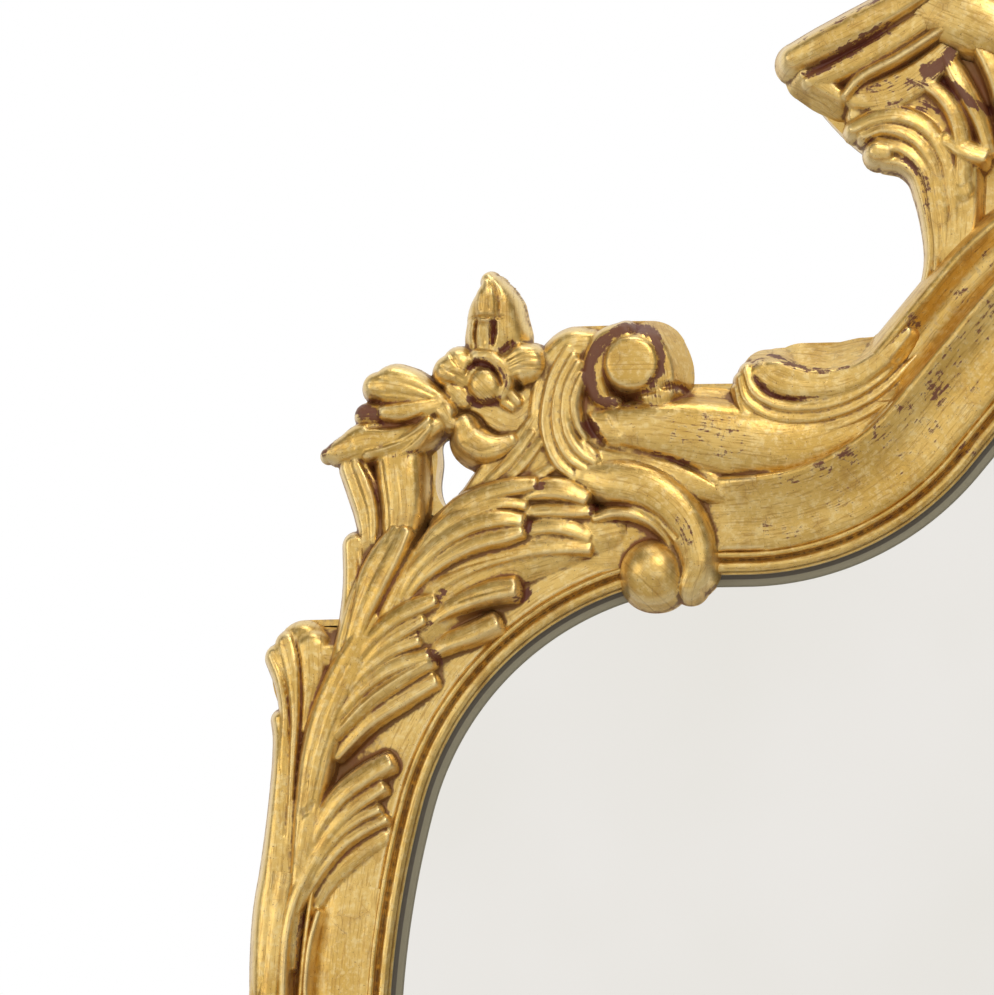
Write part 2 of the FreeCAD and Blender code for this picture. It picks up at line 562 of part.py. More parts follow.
rail_bead = joined([bead_lengths[1], flipped(bead_lengths[1])])
stile_section = moulding_section(STILE_SHARES, BEAD_WIDTH, STILE_WIDTH, STILE_HEIGHT)
corner_start = piece_of(corner, 0, 0.1)
stile_moulding = swept([waist, bow, corner_start], stile_section).cut(stile_leaf_ground).cut(corner_leaf_ground)
stile_moulding = stile_moulding.Solids[0]
stile_moulding = joined([stile_moulding, lowered(stile_moulding)])
rail_section = moulding_section(RAIL_SHARES, BEAD_WIDTH, RAIL_WIDTH, RAIL_HEIGHT)
rail_moulding = joined([
    swept([shoulder_run] + rail_runs, rail_section),
    spray_lobe((0.09, 0.43, 0.03, 0.5), (0.066, 0.38, 0.03, 0.6), (0.09, 0.33, 0.03, 0.6), (0.16, 0.3, 0.02, 0.5)),
    spray_lobe((0.16, 0.44, 0.02, 0.5), (0.11, 0.41, 0.03, 0.7), (0.13, 0.36, 0.03, 0.7), (0.22, 0.34, 0.02, 0.6)),
])
rail_moulding = rail_moulding.cut(roll_ground).cut(volute_ground)

# Crest and apron carvings.
rail_top = band(rail_runs, 0, BEAD_WIDTH + RAIL_WIDTH + CARVING_CLEARANCE, 0, CARVING_HEIGHT * 2)
crest_ground = polygon(on_crest(
    (0, -0.2), (0, 1.2), (-1.2, 1.2), (-1.2, -0.2)), 0, CARVING_HEIGHT * 2).cut(rail_top)
shell_ground = polygon(on_crest((-0.3, 0), (-0.3, 0.62), (-0.22, 1.1), (0.22, 1.1), (0.3, 0.62), (0.3, 0)),
                       0, CARVING_HEIGHT * 2)
crest_ledge = joined([
    crest_lobe((-0.92, 0.39, 0.05, 0.8), (-0.76, 0.48, 0.066, 0.95), (-0.58, 0.62, 0.066, 0.95),
               (-0.4, 0.8, 0.06, 0.9), (-0.2, 0.92, 0.05, 0.8)),
    crest_lobe((-0.86, 0.34, 0.03, 0.6), (-0.7, 0.4, 0.034, 0.7), (-0.52, 0.54, 0.034, 0.7), (-0.36, 0.7, 0.03, 0.6)),
]).common(crest_ground).cut(shell_ground)
crest_leaf = joined([
    crest_lobe((-0.8, 0.26, 0.03, 0.5), (-0.7, 0.26, 0.05, 0.7), (-0.62, 0.16, 0.045, 0.65), (-0.585, 0.03, 0.03, 0.5),
               (-0.59, -0.05, 0.02, 0.4)),
    crest_lobe((-0.73, 0.18, 0.03, 0.6), (-0.65, 0.17, 0.036, 0.7), (-0.605, 0.08, 0.024, 0.55)),
    crest_lobe((-0.66, 0.38, 0.03, 0.5), (-0.56, 0.36, 0.06, 0.7), (-0.5, 0.22, 0.055, 0.65), (-0.5, 0.06, 0.04, 0.5)),
    crest_lobe((-0.5, 0.52, 0.03, 0.5), (-0.42, 0.48, 0.05, 0.7), (-0.36, 0.34, 0.05, 0.65), (-0.36, 0.14, 0.04, 0.5)),
    crest_lobe((-0.74, 0.28, 0.06, 0.35), (-0.58, 0.22, 0.1, 0.4), (-0.44, 0.26, 0.14, 0.4), (-0.3, 0.38, 0.14, 0.4)),
]).common(crest_ground).cut(shell_ground).cut(crest_ledge)


def fan(count, spread, inner_share, outer_share, width_share, place):
    """Shell of tapering flutes about a low centre."""
    flutes = []
    for number in range(count):
        angle = math.radians(90 + spread * (number / (count - 1) - 0.5))
        rows = []
        for part_share, wide_share, crown_share in FLUTE_SHARES:
            reach = inner_share + (outer_share - inner_share) * part_share
            u = reach * math.cos(angle)
            v = SHELL_FOOT_SHARE + reach * math.sin(angle)
            rows.append((u, v, width_share * wide_share, crown_share))
        flutes.append(place(*rows))
    return joined(flutes)


SHELL_FOOT_SHARE = 0.3
FLUTE_SHARES = [(0, 0.4, 0.5), (0.34, 0.66, 0.66), (0.7, 0.95, 0.9), (1, 0.8, 0.75)]
top_ground = polygon(on_crest((-0.5, -0.2), (-0.5, 1.3), (0.5, 1.3), (0.5, -0.2)), 0, CARVING_HEIGHT * 2)
top_ground = top_ground.cut(rail_top).cut(flipped(rail_top))
crest_shell = joined([
    fan(SHELL_FLUTES, SHELL_SPREAD, 0.14, 0.7, 0.085, crest_lobe),
    dome(*on_crest((0, SHELL_FOOT_SHARE + 0.1))[0], CREST_SIZE * 0.17, CARVING_HEIGHT * 0.9),
]).common(shell_ground).common(top_ground)
apron_shell = joined([
    fan(APRON_FLUTES, SHELL_SPREAD, 0.2, 0.72, 0.12, apron_lobe),
    dome(*on_apron((0, SHELL_FOOT_SHARE + 0.34))[0], APRON_SIZE * 0.14, CARVING_HEIGHT * 0.9),
]).common(top_ground)
apron_leaf = joined([
    apron_lobe((-0.4, 0.74, 0.06, 0.5), (-0.66, 0.66, 0.1, 0.7), (-0.9, 0.48, 0.06, 0.6), (-1.06, 0.36, 0.02, 0.4)),
    apron_lobe((-0.4, 0.64, 0.06, 0.5), (-0.6, 0.56, 0.08, 0.7), (-0.8, 0.38, 0.03, 0.5)),
]).cut(rail_top).cut(apron_shell)

# Glass, its backing and the blocks that hold them.
bevel_rise = GLASS_THICKNESS - GLASS_EDGE
edge_height = -GLASS_CLEARANCE - bevel_rise * GLASS_OVERLAP / BEVEL_WIDTH
glass_front = edge_height + bevel_rise
glass_back = edge_height - GLASS_EDGE


def bevel_section(run):
    """What is ground away along the edge of the glass."""
    inner = along(run, 0, GLASS_OVERLAP - BEVEL_WIDTH)
    outer = along(run, 0, GLASS_OVERLAP + BEVEL_WIDTH)
    corners = [spot(inner[0], inner[1], glass_front), spot(outer[0], outer[1], glass_front - bevel_rise * 2),
               spot(outer[0], outer[1], glass_front)]
    return Part.Face(Part.makePolygon(corners + corners[:1]))


glass = prism(whole_outline(GLASS_OVERLAP, glass_back), glass_back, glass_front)
bevel = swept(quarter, bevel_section)
for cutter in (bevel, flipped(bevel), lowered(bevel), lowered(flipped(bevel))):
    glass = glass.cut(cutter)
backing_front = glass_back - GLASS_CLEARANCE
backing_back = backing_front - BACKING_THICKNESS
backing = prism(whole_outline(GLASS_OVERLAP, backing_back), backing_back, backing_front)
BLOCK_PLACES = [(waist, 0.5, 0.8), (corner, 0.44, 0.56), (arm, 0.3, 0.45), (arch, 0.55, 0.8)]
blocks = []
for run, first_share, last_share in BLOCK_PLACES:
    stretch = piece_of(run, first_share, last_share)
    block = band([stretch], REBATE - BLOCK_WIDTH, REBATE, backing_back - BLOCK_DEPTH, backing_back)
    for copy in (block, lowered(block)):
        blocks += [copy, flipped(copy)]

# Hangers: plate with a barrel, ring through the barrel, two screws.
bow_reach = BOW_RADIUS + HANGER_OFFSET
hanger_x = BOW_RADIUS - SIGHT_HALF_WIDTH - math.sqrt(bow_reach ** 2 - (HANGER_HEIGHT - WAIST_HALF_LENGTH) ** 2)
plate_y = -PAD_THICKNESS + PLATE_THICKNESS
axis_y = plate_y + BARREL_RADIUS - HIDDEN_CLEARANCE
bore_radius = RING_WIRE_RADIUS + RING_CLEARANCE
to_wall = FreeCAD.Vector(0, 1, 0)
to_right = FreeCAD.Vector(1, 0, 0)
plate_corner = FreeCAD.Vector(hanger_x - PLATE_LENGTH / 2, -PAD_THICKNESS, HANGER_HEIGHT - PLATE_WIDTH / 2)
plate = Part.makeBox(PLATE_LENGTH, PLATE_THICKNESS, PLATE_WIDTH, plate_corner)
barrel_start = FreeCAD.Vector(hanger_x - BARREL_LENGTH / 2, axis_y, HANGER_HEIGHT)
barrel = cylinder(BARREL_RADIUS, BARREL_LENGTH, barrel_start, to_right)
bore_start = FreeCAD.Vector(hanger_x - BARREL_LENGTH, axis_y, HANGER_HEIGHT)
bore = cylinder(bore_radius, BARREL_LENGTH * 2, bore_start, to_right)
plate = joined([plate, barrel]).cut(bore)
screws = []
for side in (-1, 1):
    screw_x = hanger_x + side * SCREW_SPACING / 2
    head_start = FreeCAD.Vector(screw_x, plate_y, HANGER_HEIGHT)
    shank = cylinder(SCREW_RADIUS, SCREW_LENGTH, head_start, TO_FRONT)
    hole = cylinder(SCREW_RADIUS + HIDDEN_CLEARANCE, SCREW_LENGTH + HIDDEN_CLEARANCE, head_start, TO_FRONT)
    head = Part.makeCone(SCREW_HEAD_RADIUS, SCREW_RADIUS, SCREW_HEAD_HEIGHT, head_start, to_wall)
    plate = plate.cut(hole)
    stile_board = stile_board.cut(hole)
    screw = joined([shank, head])
    screws += [screw, flipped(screw)]

ring_steps = [
    (RING_HALF_WIDTH - RING_CORNER,),
    (RING_CORNER, -90),
    (RING_REACH - RING_CORNER - RING_HALF_WIDTH,),
    (RING_HALF_WIDTH, -180),
    (RING_REACH - RING_CORNER - RING_HALF_WIDTH,),
    (RING_CORNER, -90),
    (RING_HALF_WIDTH - RING_CORNER,),
]
ring_runs = walk(hanger_x, HANGER_HEIGHT, 0, ring_steps)


def wire_section(run):
    """Round section of the ring's wire at the start of a run."""
    side = left_of(run.heading)
    centre = FreeCAD.Vector(run.x, axis_y, run.z)
    return Part.Face(Part.Wire(Part.makeCircle(RING_WIRE_RADIUS, centre, FreeCAD.Vector(side[1], 0, -side[0]))))


ring = swept(ring_runs, wire_section)

pad_x, pad_z = along(corner, 0.6, (REBATE + STILE_BOARD_OFFSET) / 2)[:2]
pad_start = FreeCAD.Vector(pad_x, -PAD_THICKNESS, -pad_z)
pad = Part.makeCone(PAD_RADIUS, PAD_RADIUS - PAD_TAPER, PAD_THICKNESS, pad_start, to_wall)

os.makedirs("parts", exist_ok=True)
save_pair(stile_board, "stile_board")
save_four(upper_board, "rail_board", lower_board)
save(crest_board, "crest_board")
save(lowered(apron_board), "apron_board")
save(Part.makeCompound(tongues), "joint_tongues")
save(Part.makeCompound(dowels), "board_dowels")
save_pair(stile_moulding, "stile_moulding")
save_pair(side_bead, "side_bead")
save(rail_bead, "top_bead")
save(lowered(rail_bead), "bottom_bead")
save_four(rail_moulding, "rail_moulding")
save_four(roll, "ball_scroll")
save_four(volute, "volute")
save_four(corner_leaf, "corner_acanthus")
save_four(stile_leaf, "stile_acanthus")
save_pair(flower, "flower")
save_pair(sprig, "leaf_sprig")
save_pair(crest_ledge, "crest_ledge")
save_pair(crest_leaf, "crest_leaf")
save(crest_shell, "crest_shell")
save(lowered(apron_shell), "apron_shell")
save_pair(lowered(apron_leaf), "apron_leaf")
save(glass, "mirror_glass")
save(backing, "backing_board")
save(Part.makeCompound(blocks), "backing_blocks")
save_pair(plate, "hanger_plate")
save_pair(ring, "hanger_ring")
save(Part.makeCompound(screws), "hanger_screws")
save(Part.makeCompound([pad, flipped(pad)]), "wall_pads")
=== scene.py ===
import math

import bmesh
import bpy
import numpy as np
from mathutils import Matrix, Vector


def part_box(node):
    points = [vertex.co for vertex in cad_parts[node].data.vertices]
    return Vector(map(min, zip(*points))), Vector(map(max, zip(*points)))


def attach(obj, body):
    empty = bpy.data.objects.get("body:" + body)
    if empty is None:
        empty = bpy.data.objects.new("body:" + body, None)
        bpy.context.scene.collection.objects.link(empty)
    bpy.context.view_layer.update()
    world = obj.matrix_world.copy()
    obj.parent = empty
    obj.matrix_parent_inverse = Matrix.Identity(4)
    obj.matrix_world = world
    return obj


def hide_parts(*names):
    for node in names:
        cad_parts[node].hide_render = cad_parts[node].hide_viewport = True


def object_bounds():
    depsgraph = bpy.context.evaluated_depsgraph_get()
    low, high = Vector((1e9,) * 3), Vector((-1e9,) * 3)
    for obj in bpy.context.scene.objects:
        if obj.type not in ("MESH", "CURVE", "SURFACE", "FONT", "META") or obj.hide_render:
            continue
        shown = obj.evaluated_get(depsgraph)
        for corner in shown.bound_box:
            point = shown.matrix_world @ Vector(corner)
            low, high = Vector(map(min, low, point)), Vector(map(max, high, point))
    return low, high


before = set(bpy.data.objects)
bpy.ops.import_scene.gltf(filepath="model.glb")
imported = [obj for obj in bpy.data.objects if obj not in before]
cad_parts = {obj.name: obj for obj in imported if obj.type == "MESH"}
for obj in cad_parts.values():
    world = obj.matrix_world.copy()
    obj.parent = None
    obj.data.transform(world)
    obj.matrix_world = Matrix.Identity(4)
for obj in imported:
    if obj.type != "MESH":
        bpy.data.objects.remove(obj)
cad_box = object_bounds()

# A carved and gilded wall mirror. Sizes are in millimetres until a mesh is made.
MM = 0.001
PITCH = 0.55
BOARD_FRONT = -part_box("stile_board_left")[0].y / MM

# The photograph's scale, and the pixel that shows the centre of the mirror.
PIXEL = 0.45
CENTRE_PIXEL = (1180, 1308)
IMAGE_WIDTH = 994

# Sight line of the upper left quarter: each run is a length or radius, and a turn to the left in degrees.
SIGHT_HALF_WIDTH = 358.0
SIGHT_RUNS = [(112.0, 0), (450.0, -15), (137.0, -75), (14.0, 0), (129.0, 50), (60.0, 0)]
ARCH_TURN = -50
SIGHT_STEP = 1.0
BEAD_STRIDE = 3
RAIL_STRIDE = 2
STILE_END = 190
BEAD_SPLIT = 394
BAND_START = 396
BAND_END = 444
LIP_START = 450
LIP_END = 548

# Mouldings as offsets from the sight line and heights in front of the boards.
BEAD_PROFILE = [(0.4, 0.2), (-5.8, 0.55), (-5.7, 0.9), (-2.6, 1.6), (-0.8, 2.2), (-0.5, 2.9), (0.1, 3.1),
                (0.3, 4.8), (0.7, 6.6), (2.2, 8.0), (4.0, 7.6), (5.0, 6.2), (5.6, 5.6), (6.2, 6.4),
                (6.6, 9.2), (7.4, 10.0), (8.4, 9.8), (9.0, 8.6), (9.2, 0.2)]
STILE_PROFILE = [(8.6, 0.2), (8.6, 9.0), (14.0, 8.9), (22.0, 8.3), (28.0, 7.6), (32.0, 6.6), (34.6, 5.8),
                 (36.2, 6.2), (37.4, 10.2), (38.2, 12.6), (39.2, 12.2), (40.4, 8.6), (42.4, 7.0),
                 (44.6, 8.6), (46.4, 13.6), (48.8, 16.2), (52.0, 16.6), (56.0, 15.2), (59.6, 12.2),
                 (61.8, 8.4), (63.0, 4.0), (63.4, 0.2)]
RAIL_PROFILE = [(8.6, 0.2), (8.6, 9.0), (9.8, 11.0), (12.0, 12.0), (16.0, 12.8), (20.0, 13.5),
                (24.0, 14.5), (28.0, 15.9), (32.0, 17.8), (35.0, 19.6), (37.6, 21.3), (39.2, 22.1),
                (40.4, 21.8), (41.6, 19.8), (42.4, 16.0), (42.6, 0.2)]
LIP_PROFILE = [(41.8, 0.2), (42.0, 17.0), (44.0, 14.0), (47.0, 11.4), (50.5, 10.4), (54.0, 11.6),
               (56.8, 14.4), (59.0, 17.4), (60.6, 18.8), (62.0, 18.4), (64.0, 15.6), (66.2, 11.0),
               (68.2, 5.6), (69.6, 0.2)]
GROUND_PROFILE = [(8.6, 8.94), (14.0, 8.84), (22.0, 8.24), (28.0, 7.54), (34.0, 6.9), (46.0, 6.6)]
LIP_LOW = 11.0
LAP = 10
LAP_STEP = 0.06

# How a stroke of the chisel falls away: its crown as a share of its half width, its bend, the steepness
# of its sides, how far its right side is tipped up, and whether its tip is cut off square.
FORMS = {
    "leaf": (0.55, "flat", 5.0, 0.34, True),
    "lobe": (0.5, "soft", 5.0, 0.0, False),
    "swell": (0.55, "soft", 3.5, 0.0, False),
    "blade": (0.8, "ridge", 4.5, 0.0, False),
    "roll": (0.9, "round", 4.0, 0.0, False),
    "slab": (0.12, "flat", 4.0, 0.0, False),
    "flank": (0.2, "flat", 2.0, 0.0, False),
    "bank": (0.2, "flat", 1.2, 0.0, False),
}
SQUARE_TIP = 0.5

# Strokes of the carving. Each row is a pixel, a half width in pixels and a height in millimetres;
# a cut has a depth and a bole patch has a strength in its last column.
STILE_ACANTHUS = [
    ("swell", [(268, 1015, 14, 14.5), (269, 960, 15, 15.8), (271, 905, 14, 15.4), (276, 860, 12, 14.5),
               (279, 820, 10, 13.5), (281, 780, 8, 12.5), (282, 750, 7, 12), (281, 728, 6, 11.5),
               (278, 714, 5, 11)]),
    ("slab", [(294, 930, 6, 8), (296, 880, 9, 10), (297, 830, 10, 11), (298, 790, 9, 11)]),
    ("leaf", [(284, 1015, 4, 16.4), (285, 960, 4.5, 17), (288, 925, 5, 17), (296, 893, 5, 17),
              (310, 864, 5, 16.5), (328, 836, 5, 16), (345, 817, 4.5, 15.5), (364, 805, 4, 14.5)]),
    ("leaf", [(306, 1015, 2.2, 12.4), (307, 965, 2.4, 13.2), (311, 935, 2.4, 13.2), (319, 905, 2, 12.2)]),
    ("lobe", [(292, 960, 4, 13), (296, 900, 6, 15), (303, 850, 9, 16.5), (310, 800, 13, 17.5),
              (318, 755, 16, 18.5), (330, 712, 18, 19), (345, 676, 17, 19.5), (360, 646, 14, 19.5),
              (374, 618, 9, 18.5)]),
    ("cut", [(300, 840, 2, 0.7), (307, 795, 2, 1.2), (316, 750, 2, 1.2), (330, 706, 2, 1.2),
             (350, 664, 2, 0.8)]),
    ("cut", [(312, 820, 2, 0.7), (320, 780, 2, 1.2), (330, 742, 2, 1.2), (346, 703, 2, 1.2),
             (368, 670, 2, 0.8)]),
    ("cut", [(303, 812, 5, 0.6), (309, 808, 5, 1.6), (316, 800, 4, 0.6)]),
    ("leaf", [(306, 858, 5, 14), (322, 820, 7.5, 17), (343, 792, 9.5, 19), (367, 773, 10, 19.5),
              (391, 759, 9, 18.5)]),
    ("leaf", [(302, 882, 5, 14.5), (318, 847, 6.5, 16), (338, 818, 8, 17), (360, 798, 8.5, 17),
              (384, 783, 7, 16)]),
    ("leaf", [(297, 905, 4.5, 14.5), (312, 868, 5, 15.5), (332, 838, 5.5, 16), (354, 818, 5.5, 16),
              (380, 805, 5, 15)]),
    ("leaf", [(304, 893, 4, 13.5), (323, 864, 4.8, 14.5), (344, 840, 5, 15), (366, 825, 5, 14.5),
              (387, 815, 4, 13.5)]),
    ("lobe", [(311, 906, 5, 9), (332, 873, 8, 10.5), (356, 851, 9, 11), (383, 833, 8, 10.5)]),
    ("lobe", [(294, 800, 6, 9), (296, 750, 9, 10), (297, 705, 12, 11), (299, 668, 24, 12),
              (300, 648, 29, 12), (301, 642, 24, 11.5)]),
    ("lobe", [(283, 835, 3.5, 12.5), (284, 790, 4, 12.5), (284, 750, 4.5, 12.8), (286, 705, 5, 13.5),
              (282, 672, 7.5, 14.2), (275, 652, 9, 13)]),
    ("lobe", [(289, 840, 3.5, 13.5), (291, 790, 4, 13.6), (293, 750, 4.5, 14), (296, 705, 5.2, 15),
              (293, 665, 9, 15.5), (287, 640, 11, 13.5)]),
    ("lobe", [(303, 725, 3.5, 13.5), (308, 695, 7, 14.6), (312, 668, 14, 15.4), (311, 646, 18, 14.6)]),
    ("bank", [(314, 652, 10, 13.6), (336, 654, 10, 13.6)]),
    ("slab", [(287, 890, 5, 13.6), (287, 838, 5, 13.2)]),
    ("cut", [(271, 648, 2, 1), (282, 670, 2, 1.6), (289, 705, 2, 1.8), (289, 760, 2, 1.6),
             (286, 830, 2, 1.2)]),
    ("cut", [(291, 626, 2, 1), (299, 652, 2, 2), (302, 692, 2.2, 2.4), (300, 735, 2, 2),
             (295, 795, 2, 1.4)]),
    ("bole", [(298, 985, 4, 0.5), (299, 950, 4, 0.6), (304, 915, 4, 0.7), (313, 893, 3, 0.6)]),
    ("bole", [(346, 765, 8, 0.6), (372, 752, 7, 0.7), (398, 746, 6, 0.8), (408, 748, 5, 0.7)]),
]
CORNER_ACANTHUS = [
    ("swell", [(340, 715, 28, 15.5), (374, 655, 46, 17.5), (425, 604, 48, 17.5), (490, 563, 40, 15.8),
               (560, 540, 32, 13.4), (606, 530, 26, 12.5)]),
    ("slab", [(353, 541, 8, 11.5), (354, 580, 8, 12.5), (350, 620, 8, 13.5), (342, 656, 8, 14)]),
    ("leaf", [(338, 668, 8, 16), (352, 622, 8.5, 17.5), (366, 584, 9, 18), (382, 552, 8.5, 18),
              (398, 529, 6, 17)]),
    ("leaf", [(352, 655, 6, 18), (368, 612, 8, 20), (386, 576, 8.5, 21), (400, 548, 8, 20.5),
              (408, 530, 6, 19)]),
    ("leaf", [(372, 650, 5, 17), (388, 610, 6, 18.5), (404, 578, 6, 18.5), (418, 552, 5, 17.5)]),
    ("slab", [(440, 524, 9, 11.5), (466, 504, 9, 12.5), (505, 492, 9, 13), (545, 484, 8, 13)]),
    ("leaf", [(434, 532, 6, 15), (460, 507, 8.5, 17), (490, 494, 8.5, 18), (520, 488, 8, 18.5),
              (537, 486, 6, 18)]),
    ("leaf", [(400, 590, 6, 17), (425, 548, 7, 18), (450, 523, 7.5, 18.5), (480, 509, 7, 18.5),
              (508, 504, 6, 18), (527, 507, 5, 17)]),
    ("leaf", [(395, 605, 6, 18), (420, 566, 7, 20), (448, 541, 8, 21), (478, 526, 8.5, 21.5),
              (505, 521, 8, 21.5), (524, 523, 6, 20.5)]),
    ("leaf", [(398, 608, 6, 17.5), (425, 575, 7.5, 19.5), (455, 554, 9, 20.5), (485, 542, 9, 21),
              (510, 537, 8, 21), (524, 533, 5.5, 20)]),
    ("leaf", [(395, 624, 6, 16.5), (425, 594, 8.5, 17.5), (460, 572, 9.5, 17.5), (495, 558, 9.5, 17),
              (530, 550, 9, 16), (565, 547, 9, 15), (590, 549, 7, 14)]),
    ("leaf", [(526, 496, 6, 15), (548, 491, 10.5, 17.5), (568, 493, 10.5, 18), (587, 501, 7.5, 17)]),
    ("leaf", [(530, 512, 6, 15), (555, 512, 7, 16.5), (580, 513, 6.5, 16), (591, 513, 5.5, 15.5)]),
    ("leaf", [(526, 531, 7, 14.5), (552, 527, 8.5, 16), (574, 531, 8.5, 15.5), (590, 539, 6, 14)]),
    ("leaf", [(420, 630, 6, 15), (445, 611, 8.5, 18), (475, 598, 10, 20), (505, 590, 10.5, 20.5),
              (516, 589, 10, 20.5)]),
    ("leaf", [(426, 654, 6, 14), (450, 641, 9, 16.5), (475, 632, 10, 17.5), (497, 622, 9.5, 17.5)]),
    ("leaf", [(350, 668, 6, 18), (376, 636, 7.5, 20.5), (402, 615, 8.5, 21.5), (424, 605, 8.5, 21.5),
              (437, 600, 6.5, 20.5)]),
    ("leaf", [(360, 666, 6, 18), (384, 643, 8, 20), (408, 627, 9, 20.5), (424, 618, 8, 20)]),
    ("leaf", [(346, 692, 6, 17.5), (372, 663, 8, 19), (396, 647, 8.5, 19.5), (420, 639, 6.5, 19)]),
    ("leaf", [(340, 712, 6, 17.5), (370, 681, 8, 19), (398, 664, 8, 19.5), (430, 654, 6, 18.5)]),
    ("blade", [(338, 732, 5, 18), (370, 700, 7, 19.5), (400, 679, 7, 20), (429, 662, 5.5, 19)]),
    ("leaf", [(338, 750, 7, 14), (370, 717, 9.5, 15.5), (405, 694, 10.5, 15.5), (434, 677, 9.5, 14.5)]),
    ("cut", [(357, 548, 2, 1.2), (358, 580, 2, 1.6), (350, 620, 2, 1.6), (343, 650, 2, 1)]),
    ("cut", [(440, 576, 1.8, 0.7), (470, 557, 1.8, 0.8), (500, 547, 1.8, 0.6)]),
    ("cut", [(462, 602, 1.8, 0.5), (488, 594, 1.8, 0.9), (512, 589, 1.8, 0.5)]),
    ("cut", [(446, 575, 1.8, 0.6), (480, 563, 1.8, 0.9), (530, 553, 1.8, 0.6)]),
    ("bole", [(543, 488, 5, 1), (541, 489, 5, 1)]),
    ("bole", [(530, 524, 5, 1), (529, 531, 4, 0.8)]),
    ("bole", [(595, 508, 5, 1), (593, 514, 5, 0.9)]),
    ("bole", [(408, 518, 6, 0.9), (414, 519, 5, 0.8)]),
    ("bole", [(445, 592, 5, 0.9), (441, 603, 4, 0.8)]),
    ("bole", [(434, 622, 4, 0.8), (424, 632, 4, 0.6), (405, 643, 3, 0.5)]),
    # Painted shadow: bole red at the square tip, where shade falls beside it.
    ("bole", [(525, 584, 4, 0.7), (526, 598, 5, 0.9), (515, 600, 3, 0.6)]),
    # Painted shade: bole red in the hollow beside the lobe ends.
    ("bole", [(434, 652, 6, 0.9), (440, 660, 5, 0.8)]),
]
LEAF_SPRIG = [
    ("slab", [(350, 464, 9, 10.5), (358, 486, 9, 11.5), (366, 510, 9, 12), (370, 535, 9, 11.5),
              (366, 560, 8, 10)]),
    ("lobe", [(357, 460, 6, 12.5), (366, 482, 7, 13.5), (373, 508, 6, 13.5), (374, 538, 5, 12.5)]),
    ("lobe", [(398, 450, 24, 15.5), (401, 480, 22, 17), (402, 505, 20, 16.5), (398, 535, 16, 15),
              (390, 560, 12, 13.5)]),
    ("cut", [(358, 454, 2.5, 2.6), (369, 474, 2.6, 3.2), (377, 497, 2.5, 3.2), (379, 520, 2.2, 2.6),
             (376, 545, 2, 1)]),
    ("cut", [(382, 460, 2, 1.2), (386, 485, 2, 1.5), (389, 515, 2, 1.2), (388, 540, 2, 0.8)]),
    ("cut", [(396, 466, 2, 0.6), (400, 490, 2, 0.9), (402, 515, 2, 0.6)]),
    ("bole", [(358, 456, 4, 0.7), (370, 476, 3, 0.7), (378, 500, 3, 0.6)]),
    ("lobe", [(446, 402, 6, 13), (428, 394, 12, 14.5), (405, 386, 18, 15.5), (385, 383, 18, 15),
              (375, 383, 11, 14)]),
    ("cut", [(438, 396, 2, 0.8), (410, 384, 2, 1), (378, 376, 2, 0.5)]),
    ("cut", [(438, 400, 2, 0.8), (408, 394, 2, 1), (374, 391, 2, 0.5)]),
    ("lobe", [(382, 411, 9, 12.5), (364, 411, 8.5, 12)]),
    ("lobe", [(440, 404, 6, 15), (422, 408, 8, 16.5), (402, 411, 8.5, 17), (386, 411, 6, 16.5)]),
    ("lobe", [(436, 424, 7, 14.5), (418, 434, 13, 15.5), (392, 440, 17, 16), (362, 440, 18, 15),
              (343, 446, 12, 13.5), (330, 449, 7, 12), (324, 450, 3, 11)]),
    ("blade", [(430, 420, 3, 17), (412, 436, 5.5, 18), (392, 446, 6, 17.5), (368, 452, 5, 16)]),
    ("blade", [(431, 426, 3, 16.5), (418, 442, 5, 17.5), (404, 452, 4, 16.5)]),
    ("cut", [(368, 425, 3, 2.2), (398, 424, 3.2, 3), (424, 414, 2.6, 2)]),
    ("cut", [(428, 428, 2, 1), (405, 440, 2, 1.3), (380, 446, 2, 0.9)]),
    ("cut", [(348, 430, 1.8, 0.6), (354, 446, 1.8, 0.6)]),
    # Painted shade: bole red in the underside hollow of the fold.
    ("bole", [(361, 407, 9, 0.85), (372, 412, 9, 0.8), (380, 421, 5, 0.7)]),
    ("bole", [(322, 449, 5, 0.9), (336, 431, 4, 0.7), (350, 421, 5, 0.7)]),
    # Painted shadow along the bottom edge of the lower leaf.
    ("bole", [(395, 457, 4, 0.5), (418, 450, 4, 0.6)]),
    ("lobe", [(438, 400, 8, 14), (446, 411, 9.5, 16), (451, 422, 7, 15)]),
]
